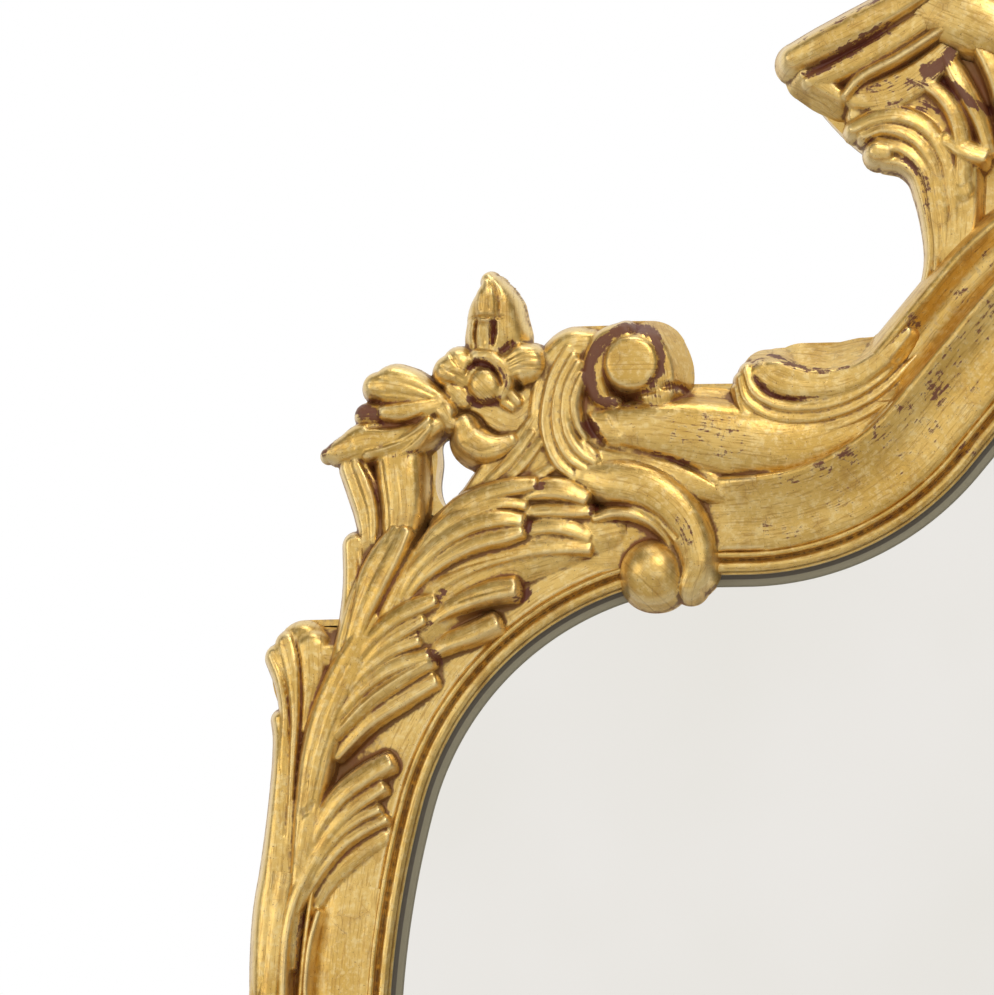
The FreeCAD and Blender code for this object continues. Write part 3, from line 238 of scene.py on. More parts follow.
FLOWER = [
    ("lobe", [(497, 352, 29, 12.5), (496, 335, 30, 14.5), (495, 318, 26, 15.8), (494, 302, 22, 16.2),
              (492, 288, 13, 15.6), (490, 281, 7, 14.8), (488, 278, 4, 14)]),
    ("lobe", [(488, 314, 10, 17.6), (488, 302, 10, 18), (489, 290, 7.5, 17.4), (489, 283, 4, 16)]),
    ("cut", [(486, 277, 2, 1.2), (496, 287, 2.2, 1.8), (500, 300, 2.2, 1.8), (501, 316, 2, 1.4)]),
    ("cut", [(469, 317, 2.2, 1.8), (486, 318, 2.4, 2.6), (503, 318, 2.2, 1.8)]),
    ("cut", [(484, 288, 1.8, 0.8), (483, 310, 1.8, 0.9)]),
    ("cut", [(491, 286, 1.8, 0.8), (492, 310, 1.8, 0.9)]),
    ("cut", [(467, 324, 2.2, 2.4), (465, 334, 2.2, 2.4), (467, 346, 1.8, 1.2)]),
    ("cut", [(477, 321, 2.6, 3.6), (475, 334, 2.6, 3.6), (476, 349, 2, 1.6)]),
    ("cut", [(484, 324, 1.8, 1), (485, 342, 1.8, 1)]),
    ("cut", [(495, 323, 4, 3.4), (494, 334, 4.6, 4), (493, 344, 3, 2.4)]),
    ("bole", [(495, 323, 4, 1), (494, 334, 5, 1), (493, 343, 3, 0.9)]),
    ("lobe", [(470, 374, 14, 13.5), (456, 368, 20, 15.5), (449, 370, 14, 15.5)]),
    ("lobe", [(455, 390, 12, 13), (462, 398, 10, 12)]),
    ("cut", [(446, 346, 2.4, 2), (453, 356, 2.4, 2.2), (461, 367, 2, 1.4)]),
    ("cut", [(438, 364, 2, 1), (450, 371, 2, 1.4), (464, 379, 2, 1)]),
    ("cut", [(440, 378, 2, 1), (452, 383, 2, 1.2), (464, 387, 2, 1)]),
    ("cut", [(441, 386, 2, 1.4), (450, 396, 2, 1.4)]),
    ("lobe", [(510, 366, 12, 15), (522, 364, 19, 17), (528, 364, 17.5, 17)]),
    ("cut", [(508, 361, 2, 1), (524, 354, 2, 1), (538, 352, 1.8, 0.6)]),
    ("cut", [(510, 367, 2, 1), (526, 361, 2, 1), (542, 361, 1.8, 0.6)]),
    ("cut", [(514, 373, 2, 0.8), (528, 369, 2, 0.9), (541, 370, 1.8, 0.5)]),
    ("cut", [(501, 353, 3, 1.6), (513, 343, 3.5, 2)]),
    ("bole", [(504, 350, 5, 0.8), (512, 344, 5, 0.8)]),
    ("slab", [(490, 408, 24, 9), (515, 418, 24, 9.5), (532, 404, 18, 9.5)]),
    ("lobe", [(478, 356, 6, 14.5), (492, 358, 6.5, 15.2), (503, 368, 6.5, 15.2), (507, 382, 6, 14.6),
              (502, 395, 5, 13.6)]),
    ("lobe", [(485, 384, 16, 16.4), (486, 385, 16, 16.4)]),
    ("cut", [(467, 374, 2, 1.6), (472, 365, 2.8, 3.2), (481, 362, 2.8, 3.4), (490, 366, 2.8, 3.2),
             (497, 374, 2.6, 2.8), (502, 385, 2.2, 2)]),
    # Painted shadow: bole red in the crescent between the boss and its ring.
    ("bole", [(468, 369, 3, 0.9), (479, 362, 4, 1), (489, 365, 4, 1), (497, 374, 3, 0.8)]),
    ("bole", [(503, 370, 5, 0.6), (507, 386, 6, 0.6)]),
    ("lobe", [(510, 392, 4, 12.5), (518, 402, 4, 12)]),
    ("lobe", [(504, 402, 4, 12), (512, 408, 3.5, 11.5)]),
    ("swell", [(464, 424, 10, 15.5), (470, 438, 15, 17), (482, 446, 15, 17), (497, 447, 12, 16),
               (511, 441, 7, 14.5)]),
    ("cut", [(466, 444, 2, 0.6), (482, 452, 2, 0.9), (500, 448, 2, 0.6)]),
    ("cut", [(456, 416, 2.5, 2.4), (466, 411, 2.6, 3), (478, 416, 2.6, 3.2), (487, 427, 2.6, 3.2),
             (500, 434, 2.4, 2.6), (512, 433, 2, 1.6)]),
    # Painted shadow under the bottom of the boss.
    ("bole", [(470, 400, 5, 0.8), (486, 403, 5, 0.8), (500, 399, 4, 0.7)]),
]
VOLUTE = [
    ("slab", [(472, 502, 14, 11), (500, 480, 24, 12), (530, 452, 24, 12), (548, 420, 16, 12)]),
    ("leaf", [(498, 486, 5, 13), (522, 466, 6, 14), (541, 442, 5, 13.5)]),
    ("leaf", [(488, 482, 5, 13), (512, 460, 6, 14), (532, 432, 5, 13)]),
    ("leaf", [(512, 494, 5, 12.5), (535, 478, 6, 13.5), (556, 466, 5, 12.5)]),
    ("swell", [(590, 346, 13, 12.5), (572, 348, 17, 13), (556, 360, 16, 12.5), (545, 385, 13, 12),
               (540, 415, 13, 12), (548, 452, 14, 12), (580, 480, 16, 12.5)]),
    ("leaf", [(570, 352, 7, 13.5), (556, 376, 6, 14.5), (549, 402, 5.6, 15), (547, 425, 5.6, 15.2),
              (551, 446, 5.6, 15.2), (561, 466, 5.6, 15), (577, 479, 5, 14)]),
    ("leaf", [(575, 359, 5, 14.5), (563, 384, 5, 15.8), (558, 407, 5, 16.2), (558, 426, 5, 16.4),
              (562, 443, 5, 16.4), (572, 460, 5, 16), (588, 471, 4.5, 15)]),
    ("leaf", [(580, 367, 4.5, 15.5), (570, 388, 4.6, 16.8), (567, 407, 4.6, 17.2), (567, 422, 4.6, 17.4),
              (572, 440, 4.8, 17.4), (584, 456, 5, 17), (597, 464, 4.5, 16)]),
    ("leaf", [(584, 379, 4.2, 16.2), (578, 395, 4.4, 17.4), (576, 410, 4.4, 17.6), (580, 427, 4.2, 16.6),
              (587, 441, 3, 14.5)]),
    ("flank", [(648, 358, 21, 17), (655, 372, 20, 16.6), (658, 392, 18, 15.6)]),
    ("lobe", [(624, 338, 11, 16.6), (606, 346, 12, 16.6), (597, 364, 11, 16.6), (596, 384, 10, 16.4),
              (603, 400, 9, 15.8), (614, 405, 6, 14.8)]),
    ("slab", [(633, 367, 25, 20), (634, 367, 25, 20)]),
    ("bole", [(614, 406, 5, 0.9), (601, 403, 6, 1), (592, 388, 7, 1), (592, 369, 7, 1), (601, 350, 7, 1),
              (616, 337, 7, 1), (636, 330, 7, 1), (653, 337, 7, 1), (661, 352, 5, 1), (663, 370, 4.5, 0.9),
              (656, 385, 4.5, 0.8), (643, 396, 4, 0.7)]),
    ("cut", [(664, 391, 4, 2), (678, 390, 5, 3), (690, 396, 4, 2)]),
    # Painted shadow at the bottom right of the flank.
    ("bole", [(670, 390, 6, 0.8), (686, 394, 5, 0.8)]),
    ("cut", [(611, 397, 3, 2), (632, 398, 3.5, 2.4), (655, 395, 3.5, 2)]),
    ("slab", [(598, 420, 24, 12), (600, 445, 22, 12)]),
    ("bank", [(694, 430, 14, 17.4), (738, 434, 14, 17.4)]),
    ("swell", [(596, 428, 18, 14.5), (640, 432, 28, 18), (690, 439, 36, 19.6), (740, 447, 39, 19.6),
               (790, 451, 34, 18.4), (840, 437, 24, 16), (876, 413, 15, 13.4), (904, 388, 8, 11)]),
    ("swell", [(600, 462, 14, 14), (650, 474, 18, 16), (695, 487, 18, 16.4), (740, 499, 13, 15)]),
    ("cut", [(587, 420, 5, 3), (592, 432, 7, 4.5), (603, 445, 5, 2.5)]),
    ("bole", [(590, 428, 8, 1), (600, 440, 6, 0.7)]),
    ("lobe", [(584, 446, 4, 15), (593, 456, 5, 16), (598, 462, 4, 15.5)]),
    ("bole", [(600, 460, 4, 0.7), (597, 465, 3, 0.6)]),
    ("cut", [(622, 449, 2.4, 1.2), (650, 457, 3, 2.2), (675, 464, 3.5, 2.8), (698, 476, 3, 2.4),
             (716, 489, 2.2, 1.2)]),
    ("cut", [(608, 418, 2, 0.8), (620, 438, 2, 0.9)]),
    # Painted shade darkening the shoulder's crease.
    ("bole", [(655, 457, 4, 0.7), (690, 470, 4, 0.7)]),
    ("bole", [(690, 434, 22, 0.42), (730, 444, 22, 0.42)]),
    ("bole", [(620, 405, 10, 0.4), (655, 404, 10, 0.4)]),
]
BALL_SCROLL = [
    ("slab", [(596, 545, 26, 9.5), (640, 545, 30, 10), (690, 560, 26, 9.5)]),
    ("swell", [(586, 476, 14, 15), (606, 482, 21, 18), (636, 488, 23, 20.6), (662, 501, 23, 21.6),
               (682, 522, 22, 21.4), (694, 549, 19, 20), (695, 571, 15, 18.5), (688, 588, 9, 16.5)]),
    ("leaf", [(596, 520, 4, 14.5), (615, 515, 5, 16.5), (635, 517, 5, 16.8), (652, 525, 4.5, 16.4),
              (668, 541, 4.5, 15.8), (677, 558, 4, 15)]),
    ("roll", [(652, 574, 32, 22.5), (653, 575, 32, 22.5)]),
    ("cut", [(590, 506, 3, 2), (615, 506, 3, 2.6), (640, 510, 3, 2.8), (660, 522, 3, 2.6),
             (678, 542, 2.6, 2)]),
    ("bole", [(684, 530, 10, 0.5), (690, 545, 8, 0.55)]),
    ("bole", [(615, 524, 5, 0.5), (640, 526, 5, 0.5)]),
]
RAIL_END = [
    ("bank", [(800, 385, 9, 18), (826, 388, 9, 18.6), (860, 382, 9, 18.6)]),
    ("flank", [(764, 377, 8, 16.5), (776, 378, 9, 18), (792, 384, 10, 18.6), (816, 390, 10, 19),
               (850, 386, 10, 19), (880, 368, 8, 18.8), (906, 342, 5, 17.6)]),
    ("lobe", [(762, 378, 10, 17.2), (776, 390, 11, 18.6), (796, 396, 11, 19.3), (824, 397, 11, 19.5),
              (854, 389, 10, 19.2), (884, 368, 8, 18.8)]),
    ("leaf", [(748, 376, 5.5, 16), (756, 397, 6, 17.8), (776, 410, 6, 18.5), (806, 414, 6, 18.6),
              (842, 407, 6, 18.2), (876, 388, 5, 16.4), (912, 352, 1.2, 12)]),
    ("leaf", [(742, 384, 5, 15), (748, 404, 5.5, 16.8), (768, 420, 5.5, 17.5), (802, 425, 5.5, 17.6),
              (842, 418, 5.5, 17.2), (878, 399, 5, 15.2), (916, 362, 1.2, 11)]),
    ("leaf", [(738, 394, 4.5, 14), (744, 412, 5.5, 16), (762, 428, 5.5, 16.6), (800, 436, 5.5, 16.8),
              (844, 429, 5.5, 16.2), (882, 409, 5, 14.2), (920, 372, 1.2, 10)]),
    ("cut", [(754, 384, 2, 1), (768, 400, 2.2, 1.4), (790, 406, 2.2, 1.4), (815, 406, 2, 1)]),
    ("bole", [(755, 384, 3.5, 0.8), (769, 400, 4, 0.9), (798, 407, 3, 0.8), (818, 406, 2.5, 0.6)]),
    ("bole", [(770, 359, 4, 0.8), (791, 371, 3.5, 0.9), (816, 379, 3, 0.8), (850, 376, 2.5, 0.6)]),
    ("bole", [(757, 368, 9, 0.5), (760, 366, 8, 0.5)]),
    ("bole", [(890, 352, 4, 0.7), (910, 332, 4, 0.7)]),
]
CREST_LEDGE = [
    ("flank", [(806, 82, 5, 15.5), (826, 94, 7, 15.5), (841, 104, 5, 15)]),
    ("swell", [(796, 66, 11, 20), (820, 56, 13, 22.6), (850, 42, 14, 23.6), (900, 16, 14, 23.6),
               (950, -14, 14, 23.6), (1000, -48, 13, 22.8), (1048, -80, 9, 21)]),
    ("lobe", [(812, 87, 8, 16.5), (840, 77, 12, 18), (880, 57, 13, 18.5), (930, 26, 13, 18.5),
              (980, -6, 13, 18), (1030, -40, 10, 17)]),
    ("leaf", [(847, 104, 3, 18.2), (856, 93, 3.6, 19.4), (900, 68, 3.6, 20), (940, 43, 3.6, 20),
              (980, 14, 3.6, 20), (1024, -18, 3, 19)]),
    ("cut", [(806, 84, 3, 1.2), (840, 67, 4, 2.2), (880, 44, 4, 2.2), (930, 14, 4, 2),
             (980, -18, 3, 1.6)]),
    ("bole", [(808, 84, 5, 0.8), (835, 70, 7, 0.85), (865, 53, 7, 0.85), (895, 37, 6, 0.6)]),
    ("bole", [(800, 53, 3, 0.6), (840, 33, 3, 0.6), (885, 8, 4, 0.7)]),
]
CREST_LEAF = [
    ("slab", [(862, 122, 13, 12), (890, 122, 26, 13), (925, 132, 30, 13), (950, 168, 24, 12.5),
              (955, 210, 20, 12), (952, 262, 16, 11)]),
    ("slab", [(960, 100, 26, 10.5), (990, 80, 30, 10.5), (1015, 60, 30, 10.5), (1015, 130, 26, 10.5)]),
    ("slab", [(857, 106, 9, 14.6), (882, 104, 15, 15.2), (915, 90, 15, 15.6), (948, 62, 10, 15.6)]),
    ("leaf", [(854, 136, 6.5, 14.5), (878, 126, 8.5, 16), (904, 126, 9, 16.5), (926, 138, 8.5, 16),
              (943, 163, 7.5, 15), (951, 200, 6.5, 14), (953, 250, 3, 11), (950, 290, 1.2, 8)]),
    ("leaf", [(864, 144, 4.5, 14), (882, 138, 5.5, 15.5), (902, 142, 6.5, 16), (920, 154, 6.5, 16),
              (933, 176, 6, 15), (940, 206, 5.5, 14), (943, 255, 3, 11.5), (940, 296, 1.2, 8)]),
    ("leaf", [(880, 152, 5.5, 14.5), (902, 158, 6, 15), (917, 170, 6, 15), (927, 190, 5.5, 14.5),
              (932, 216, 4.8, 13.5), (935, 262, 3, 11.5), (930, 300, 1.2, 8)]),
    ("leaf", [(884, 168, 4.5, 13), (902, 172, 5, 13.5), (915, 184, 5, 13.5), (921, 202, 4.5, 13),
              (926, 228, 3.5, 12), (928, 266, 2.4, 10), (920, 302, 1.2, 7)]),
    ("lobe", [(877, 160, 9.5, 16.4), (885, 161, 8, 16)]),
    ("leaf", [(918, 91, 5, 15.5), (938, 103, 7.5, 17), (953, 122, 8.5, 17), (961, 150, 8.5, 16),
              (962, 195, 8, 14.5)]),
    ("leaf", [(946, 66, 5.5, 15.5), (955, 84, 8.5, 17.5), (967, 106, 8.5, 18), (980, 134, 7.5, 16),
              (988, 165, 6, 14)]),
    ("leaf", [(966, 40, 7, 16), (983, 58, 11.5, 19), (996, 85, 11.5, 19.5), (1003, 122, 8.5, 17),
              (1004, 165, 6, 14)]),
    ("leaf", [(1002, 12, 7, 16), (1016, 40, 11.5, 19.5), (1024, 80, 11.5, 19), (1022, 124, 8.5, 16),
              (1016, 168, 6, 13)]),
    ("leaf", [(946, 150, 8, 15), (966, 162, 10.5, 16.5), (984, 168, 8.5, 16)]),
    ("lobe", [(956, 186, 15, 14.5), (960, 200, 14, 14)]),
    ("bole", [(926, 82, 8, 0.9), (942, 76, 8, 1), (953, 62, 6, 1)]),
    ("bole", [(944, 92, 6, 1), (958, 104, 6, 1), (975, 117, 6, 0.9), (992, 122, 6, 0.9)]),
    # Painted shadow: dark streaks on the face under the bead.
    ("bole", [(860, 98, 7, 0.5), (890, 95, 9, 0.5), (925, 92, 8, 0.5)]),
    ("bole", [(870, 120, 6, 0.45), (920, 116, 8, 0.5), (936, 122, 6, 0.55)]),
    ("bole", [(905, 168, 6, 0.6), (918, 184, 6, 0.7), (925, 200, 5, 0.6), (926, 240, 4, 0.5)]),
    ("bole", [(866, 150, 4, 0.7), (885, 147, 3.5, 0.6)]),
]
# Rubbed places of the rail: pixel, reach in pixels and strength.
RAIL_RUBS = [(935, 400, 24, 0.58), (905, 422, 16, 0.5), (880, 443, 18, 0.52), (850, 463, 16, 0.52),
             (822, 477, 14, 0.46), (790, 488, 16, 0.5), (790, 532, 20, 0.36), (758, 536, 18, 0.42),
             (930, 440, 18, 0.4), (914, 331, 14, 0.6), (962, 455, 14, 0.5), (950, 372, 18, 0.5),
             (972, 345, 18, 0.48), (990, 322, 18, 0.48), (955, 305, 16, 0.45), (985, 268, 16, 0.45),
             (900, 472, 18, 0.36), (975, 400, 20, 0.36), (840, 505, 20, 0.34)]
# Leaf of the apron and the two shells, in millimetres.
APRON_LEAF = [
    ("leaf", [(-40, 532, 8, 14), (-70, 523, 11, 18), (-96, 505, 7.5, 16), (-113, 491, 3, 12)]),
    ("leaf", [(-40, 519, 7, 13), (-64, 511, 8.5, 16.5), (-84, 497, 4.5, 13)]),
    ("cut", [(-50, 530, 1, 0.8), (-74, 520, 1, 1.2), (-98, 502, 1, 0.8)]),
]
SHELL_FOOT = (0.0, 531.0)
SHELL_REACH = (20.0, 128.0)
APRON_FOOT = (0.0, 480.0)
APRON_REACH = (22.0, 80.0)
SHELL_SPREAD = 130.0
SHELL_FLUTES = 9
APRON_FLUTES = 7
# A flute's rows: share of its length, share of the fan's breadth and height; and the hub at its foot.
FLUTE_ROWS = [(0, 0.5, 12), (0.35, 0.8, 17), (0.75, 1.1, 23), (1, 0.85, 19)]
HUB_RISE = (0.4, 0.5)
HUB_WIDTH = 1.3
HUB_HEIGHT = 24
# Grids of the corner, the crest and the apron, across and upwards, and the margin round a shell.
CORNER_GRID = ((-424, -96), (118, 480))
CREST_GRID = ((-190, 4), (440, 690))
APRON_GRID = ((-160, 4), (440, 600))
SHELL_SIDE = 12
SHELL_BELOW = 30
SHELL_ABOVE = 16

# Strokes: bole on a square tip's end wall, which also stands for the painted shade under the cut tip; the
# first gentle fall of a side and its breadth, the gap that keeps the grain of one stroke apart from the next,
# and how far out a bole patch reaches and fades, in half widths.
TIP_BOLE_SHADE = 0.5
EASY_FALL = 2
ROUNDING = 1.0
GRAIN_GAP = 17.3
RUB_FAR = 1.4
RUB_EDGE = (1.35, 0.7)
# Painted shade and highlight: how far around a point its surroundings are taken, and how far below them a
# hollow or how proud a ridge is when it counts in full; hollows are painted darker, in part as toning of the
# gilt, and ridges paler. A low rim takes only a share of the painted shade, so it is about as bright as the
# ground.
NEAR_REACH = 1.0
WIDE_REACH = 3.6
RUB_REACH = 0.5
LEAST_STEP = 0.1
NEAR_DEPTH = 1.2
NEAR_SHARE = 0.65
WIDE_STEP = 0.6
WIDE_DEPTH = 4.5
WIDE_SHARE = 0.45
PROUD_HEIGHT = 0.9
RIM_HEIGHT = 4.5
RIM_SHADE = 0.2
# Meshing: points handled at a time, the least squared slope and the most that an outline is drawn in,
# welding distance, and the angles in degrees past which an edge is crisp.
BLOCK = 20000
LEAST_SLOPE = 0.25
MOST_PULL = 1.2 * PITCH
TINY = 1e-6
WELD = 0.01
CRISP_CARVING = 62
CRISP_MOULDING = 50
# Mouldings: step of the smoothed profile, and the rows over which its hollows are judged.
PROFILE_STEP = 0.5
NEAR_ROWS = 3
WIDE_ROWS = 12
# The dark strip inside the bead, whose grey and near black are a painted reflection of the bead's unlit inner
# side in the glass: offsets from the sight line, and its tone there.
SLIP_OFFSETS = (-3.0, -2.4, -0.8, -0.5)
SLIP_TONES = (0.55, 1.0, 1.0, 0.0)
# Gold ends on the edges of the boards, this far from the wall and over this breadth, in metres.
BACK_OF_GOLD = -0.0095
EDGE_OF_GOLD = 0.003
# Where the white background begins behind the mirror, as a share of the way to straight back.
BACKGROUND_START = (-0.1, 0.3)
BACKGROUND_LIGHT = 0.6
# A soft window behind the camera, low on the right.
WINDOW_WAY = Vector((0.38, -0.87, -0.3))
WINDOW_LIGHT = 0.9
WINDOW_EDGE = (0.92, 0.985)
# The studio's strength in front and to the sides, and where it changes on the way round.
STUDIO_LIGHT = (0.93, 0.24)
STUDIO_EDGE = (-0.88, -0.4)
STUDIO_TINT = (1, 0.985, 0.96, 1)
WHITE = (1, 1, 1, 1)


def in_plane(rows):
    """Rows of pixels and half widths as millimetres from the mirror's centre; heights stay."""
    rows = np.array(rows, float)
    rows[:, 0] = (rows[:, 0] - CENTRE_PIXEL[0]) * PIXEL
    rows[:, 1] = (CENTRE_PIXEL[1] - rows[:, 1]) * PIXEL
    rows[:, 2] *= PIXEL
    return rows


def flow(rows, step=PITCH):
    """Rows along a smooth curve through given rows."""
    run = np.concatenate([[0], np.cumsum(np.hypot(*np.diff(rows[:, :2], axis=0).T))])
    slope = np.gradient(rows, run, axis=0)
    at = np.linspace(0, run[-1], max(2, int(run[-1] / step)) + 1)
    k = np.clip(np.searchsorted(run, at, side="right") - 1, 0, len(run) - 2)
    gap = (run[k + 1] - run[k])[:, None]
    u = (at - run[k])[:, None] / gap
    first = (2 * u ** 3 - 3 * u ** 2 + 1) * rows[k] + (u ** 3 - 2 * u ** 2 + u) * gap * slope[k]
    last = (3 * u ** 2 - 2 * u ** 3) * rows[k + 1] + (u ** 3 - u ** 2) * gap * slope[k + 1]
    return first + last


def nearest(x, z, spine):
    """For each point, the number of the nearest spine row and the distance to it."""
    index = np.zeros(len(x), int)
    reach = np.zeros(len(x))
    for start in range(0, len(x), BLOCK):
        part = slice(start, start + BLOCK)
        away = (x[part, None] - spine[None, :, 0]) ** 2 + (z[part, None] - spine[None, :, 1]) ** 2
        index[part] = away.argmin(axis=1)
        reach[part] = np.sqrt(away.min(axis=1))
    return index, reach


def sight_line():
    """Points and headings along the sight line, from the left stile's middle to the middle of the top."""
    x, z, heading = -SIGHT_HALF_WIDTH, 0.0, 90.0
    rows = [(x, z, heading)]

    def go(reach, turn):
        nonlocal x, z, heading
        length = reach * abs(math.radians(turn)) if turn else reach
        count = math.ceil(length / SIGHT_STEP)
        for _ in range(count):
            heading += turn / count / 2
            x += length / count * math.cos(math.radians(heading))
            z += length / count * math.sin(math.radians(heading))
            heading += turn / count / 2
            rows.append((x, z, heading))

    for reach, turn in SIGHT_RUNS:
        go(reach, turn)
    go(x / math.sin(math.radians(ARCH_TURN)), ARCH_TURN)
    return np.array(rows)


SIGHT = sight_line()


class Relief:
    """Carved heights in front of the boards on a square grid, with each point's owner, bole patches (rubs,
    and painted shadow in some recesses) and grain.
    """

    BELOW = -6.0
    LEAST = 3.0

    def __init__(self, x_range, z_range):
        self.x, self.z = np.meshgrid(np.arange(*x_range, PITCH), np.arange(*z_range, PITCH), indexing="ij")
        self.height = np.full(self.x.shape, self.BELOW)
        self.owner = np.zeros(self.x.shape, int)
        self.bole = np.zeros(self.x.shape)
        self.along = np.zeros(self.x.shape)
        self.across = np.zeros(self.x.shape)
        self.names = []
        self.strokes = 0

    def raise_to(self, near, value, number, bole, along, across):
        """Keeps the new carving where it stands above the old."""
        higher = value > self.height[near]
        at = (near[0][higher], near[1][higher])
        self.height[at] = value[higher]
        self.owner[at] = number
        self.bole[at] = bole[higher]
        self.along[at] = along[higher]
        self.across[at] = across[higher]

    def around(self, spine, margin):
        """Grid points near a spine, the nearest spine row of each and its distance."""
        low = spine[:, :2].min(axis=0) - margin
        high = spine[:, :2].max(axis=0) + margin
        near = np.nonzero((self.x > low[0]) & (self.x < high[0]) & (self.z > low[1]) & (self.z < high[1]))
        return near, *nearest(self.x[near], self.z[near], spine)

    def stroke(self, number, form, rows):
        """One finger along a curve, with steep sides and a square or round tip."""
        crown, bend, fall, tilt, square = FORMS[form]
        spine = flow(rows)
        near, index, reach = self.around(spine, spine[:, 2].max() + (spine[:, 3].max() - self.BELOW) / fall)
        half = spine[index, 2]
        heading = np.gradient(spine[:, :2], axis=0)
        heading /= np.maximum(np.hypot(*heading.T), 1e-9)[:, None]
        away_x = self.x[near] - spine[index, 0]
        away_z = self.z[near] - spine[index, 1]
        side = away_x * heading[index, 1] - away_z * heading[index, 0]
        beyond = np.where(index == len(spine) - 1, away_x * heading[index, 0] + away_z * heading[index, 1], 0)
        if square:
            reach = np.where(beyond > 0, np.hypot(side, beyond / SQUARE_TIP), reach)
        far = np.minimum(reach / half, 1.0)
        if bend == "ridge":
            drop = far
        elif bend == "round":
            drop = 1 - np.sqrt(np.maximum(1 - far ** 2, 0))
        elif bend == "flat":
            drop = 0.35 * far ** 2 + 0.65 * far ** 8
        else:
            drop = (far ** 2 + far ** 6) / 2
        value = spine[index, 3] - crown * half * drop + tilt * np.clip(side, -half, half) * (1 - far ** 6)
        outside = np.maximum(reach - half, 0)
        steep = np.maximum(outside - ROUNDING, 0)
        value = np.maximum(value - EASY_FALL * outside - (fall - EASY_FALL) * steep, self.BELOW)
        # Bole on a square tip's end wall, also painted shade under the cut tip.
        bole = np.where((beyond > 0) & (reach > half), TIP_BOLE_SHADE, 0.0) if square else np.zeros(len(half))
        self.strokes += 1
        self.raise_to(near, value, number, bole, index * PITCH, side + self.strokes * GRAIN_GAP)

    def cut(self, rows):
        """A veined groove, cut into what is already carved."""
        spine = flow(rows)
        near, index, reach = self.around(spine, spine[:, 2].max())
        height = self.height[near]
        lowered = height - spine[index, 3] * np.clip(1 - reach / spine[index, 2], 0, 1)
        self.height[near] = np.where(height > self.LEAST, np.maximum(lowered, self.LEAST), height)

    def rub_and_shadow(self, rows):
        """A bole patch: a place where the gold is worn through, and in some recesses a painted shadow."""
        spine = flow(rows)
        near, index, reach = self.around(spine, spine[:, 2].max() * RUB_FAR)
        worn = spine[index, 3] * np.clip((RUB_EDGE[0] - reach / spine[index, 2]) / RUB_EDGE[1], 0, 1)
        self.bole[near] = np.maximum(self.bole[near], worn)

    def ground(self, number, profile, first, last, rise=None):
        """A band along the sight line; where a rise is given it comes up from a low start."""
        line = SIGHT[first:last]
        offsets, heights = np.array(profile).T
        near = np.nonzero((self.x < line[:, 0].max()) & (self.z > line[:, 1].min()))
        index, reach = nearest(self.x[near], self.z[near], line)
        turn = np.radians(line[index, 2])
        side = (self.z[near] - line[index, 1]) * np.cos(turn) - (self.x[near] - line[index, 0]) * np.sin(turn)
        value = np.interp(side, offsets, heights)
        if rise is not None:
            share = np.clip((index - rise[0]) / (rise[1] - rise[0]), 0, 1)
            above = np.maximum(value - LIP_LOW, 0)
            value = np.minimum(value, LIP_LOW) + above * share ** 2 * (3 - 2 * share) - LAP_STEP
        inside = (side >= offsets[0]) & (side <= offsets[-1]) & (index > 0) & (index < len(line) - 1)
        value = np.where(inside, value, self.BELOW)
        self.raise_to(near, value, number, np.zeros(len(value)), index * SIGHT_STEP, side)

    def soften(self):
        """Rounds the chisel's edges as the gesso does under the gold."""
        soft = (self.height + blurred(np.maximum(self.height, 0), PITCH)) / 2
        self.height = np.where(self.height > self.LEAST, soft, self.height)

    def add(self, name, strokes, convert=in_plane):
        """Carves one piece from its strokes, cuts and bole patches: rubs, and in some recesses painted
        shadow.
        """
        number = len(self.names)
        self.names.append(name)
        for form, rows in strokes:
            if form == "cut":
                self.cut(convert(rows))
            elif form == "bole":
                self.rub_and_shadow(convert(rows))
            else:
                self.stroke(number, form, convert(rows))


def blurred(field, reach):
    """Mean of a field over a square window, taken three times."""
    size = max(1, int(round(reach / PITCH)))
    for axis in (0, 1, 0, 1, 0, 1):
        field = np.moveaxis(field, axis, 0)
        total = np.cumsum(np.pad(field, [(size + 1, size), (0, 0)], mode="edge"), axis=0)
        field = np.moveaxis((total[2 * size + 1:] - total[:-2 * size - 1]) / (2 * size + 1), 0, axis)
    return field


def wear_and_shading(relief):
    """Softens a relief; how far each point then lies in a hollow or stands proud, for the painted shade of
    hollows and painted highlight of ridges, with its bole patches and grain.
    """
    relief.soften()
    solid = np.maximum(relief.height, 0)
    near = blurred(solid, NEAR_REACH) - solid
    wide = blurred(solid, WIDE_REACH) - solid
    hollow = (np.clip((near - LEAST_STEP) / NEAR_DEPTH, 0, 1) * NEAR_SHARE
              + np.clip((wide - WIDE_STEP) / WIDE_DEPTH, 0, 1) * WIDE_SHARE)
    hollow *= np.clip(solid / RIM_HEIGHT, RIM_SHADE, 1)
    proud = np.clip((-near - LEAST_STEP) / PROUD_HEIGHT, 0, 1)
    return {"hollow": hollow, "proud": proud, "bole": blurred(relief.bole, RUB_REACH),
            "along": relief.along, "across": relief.across}


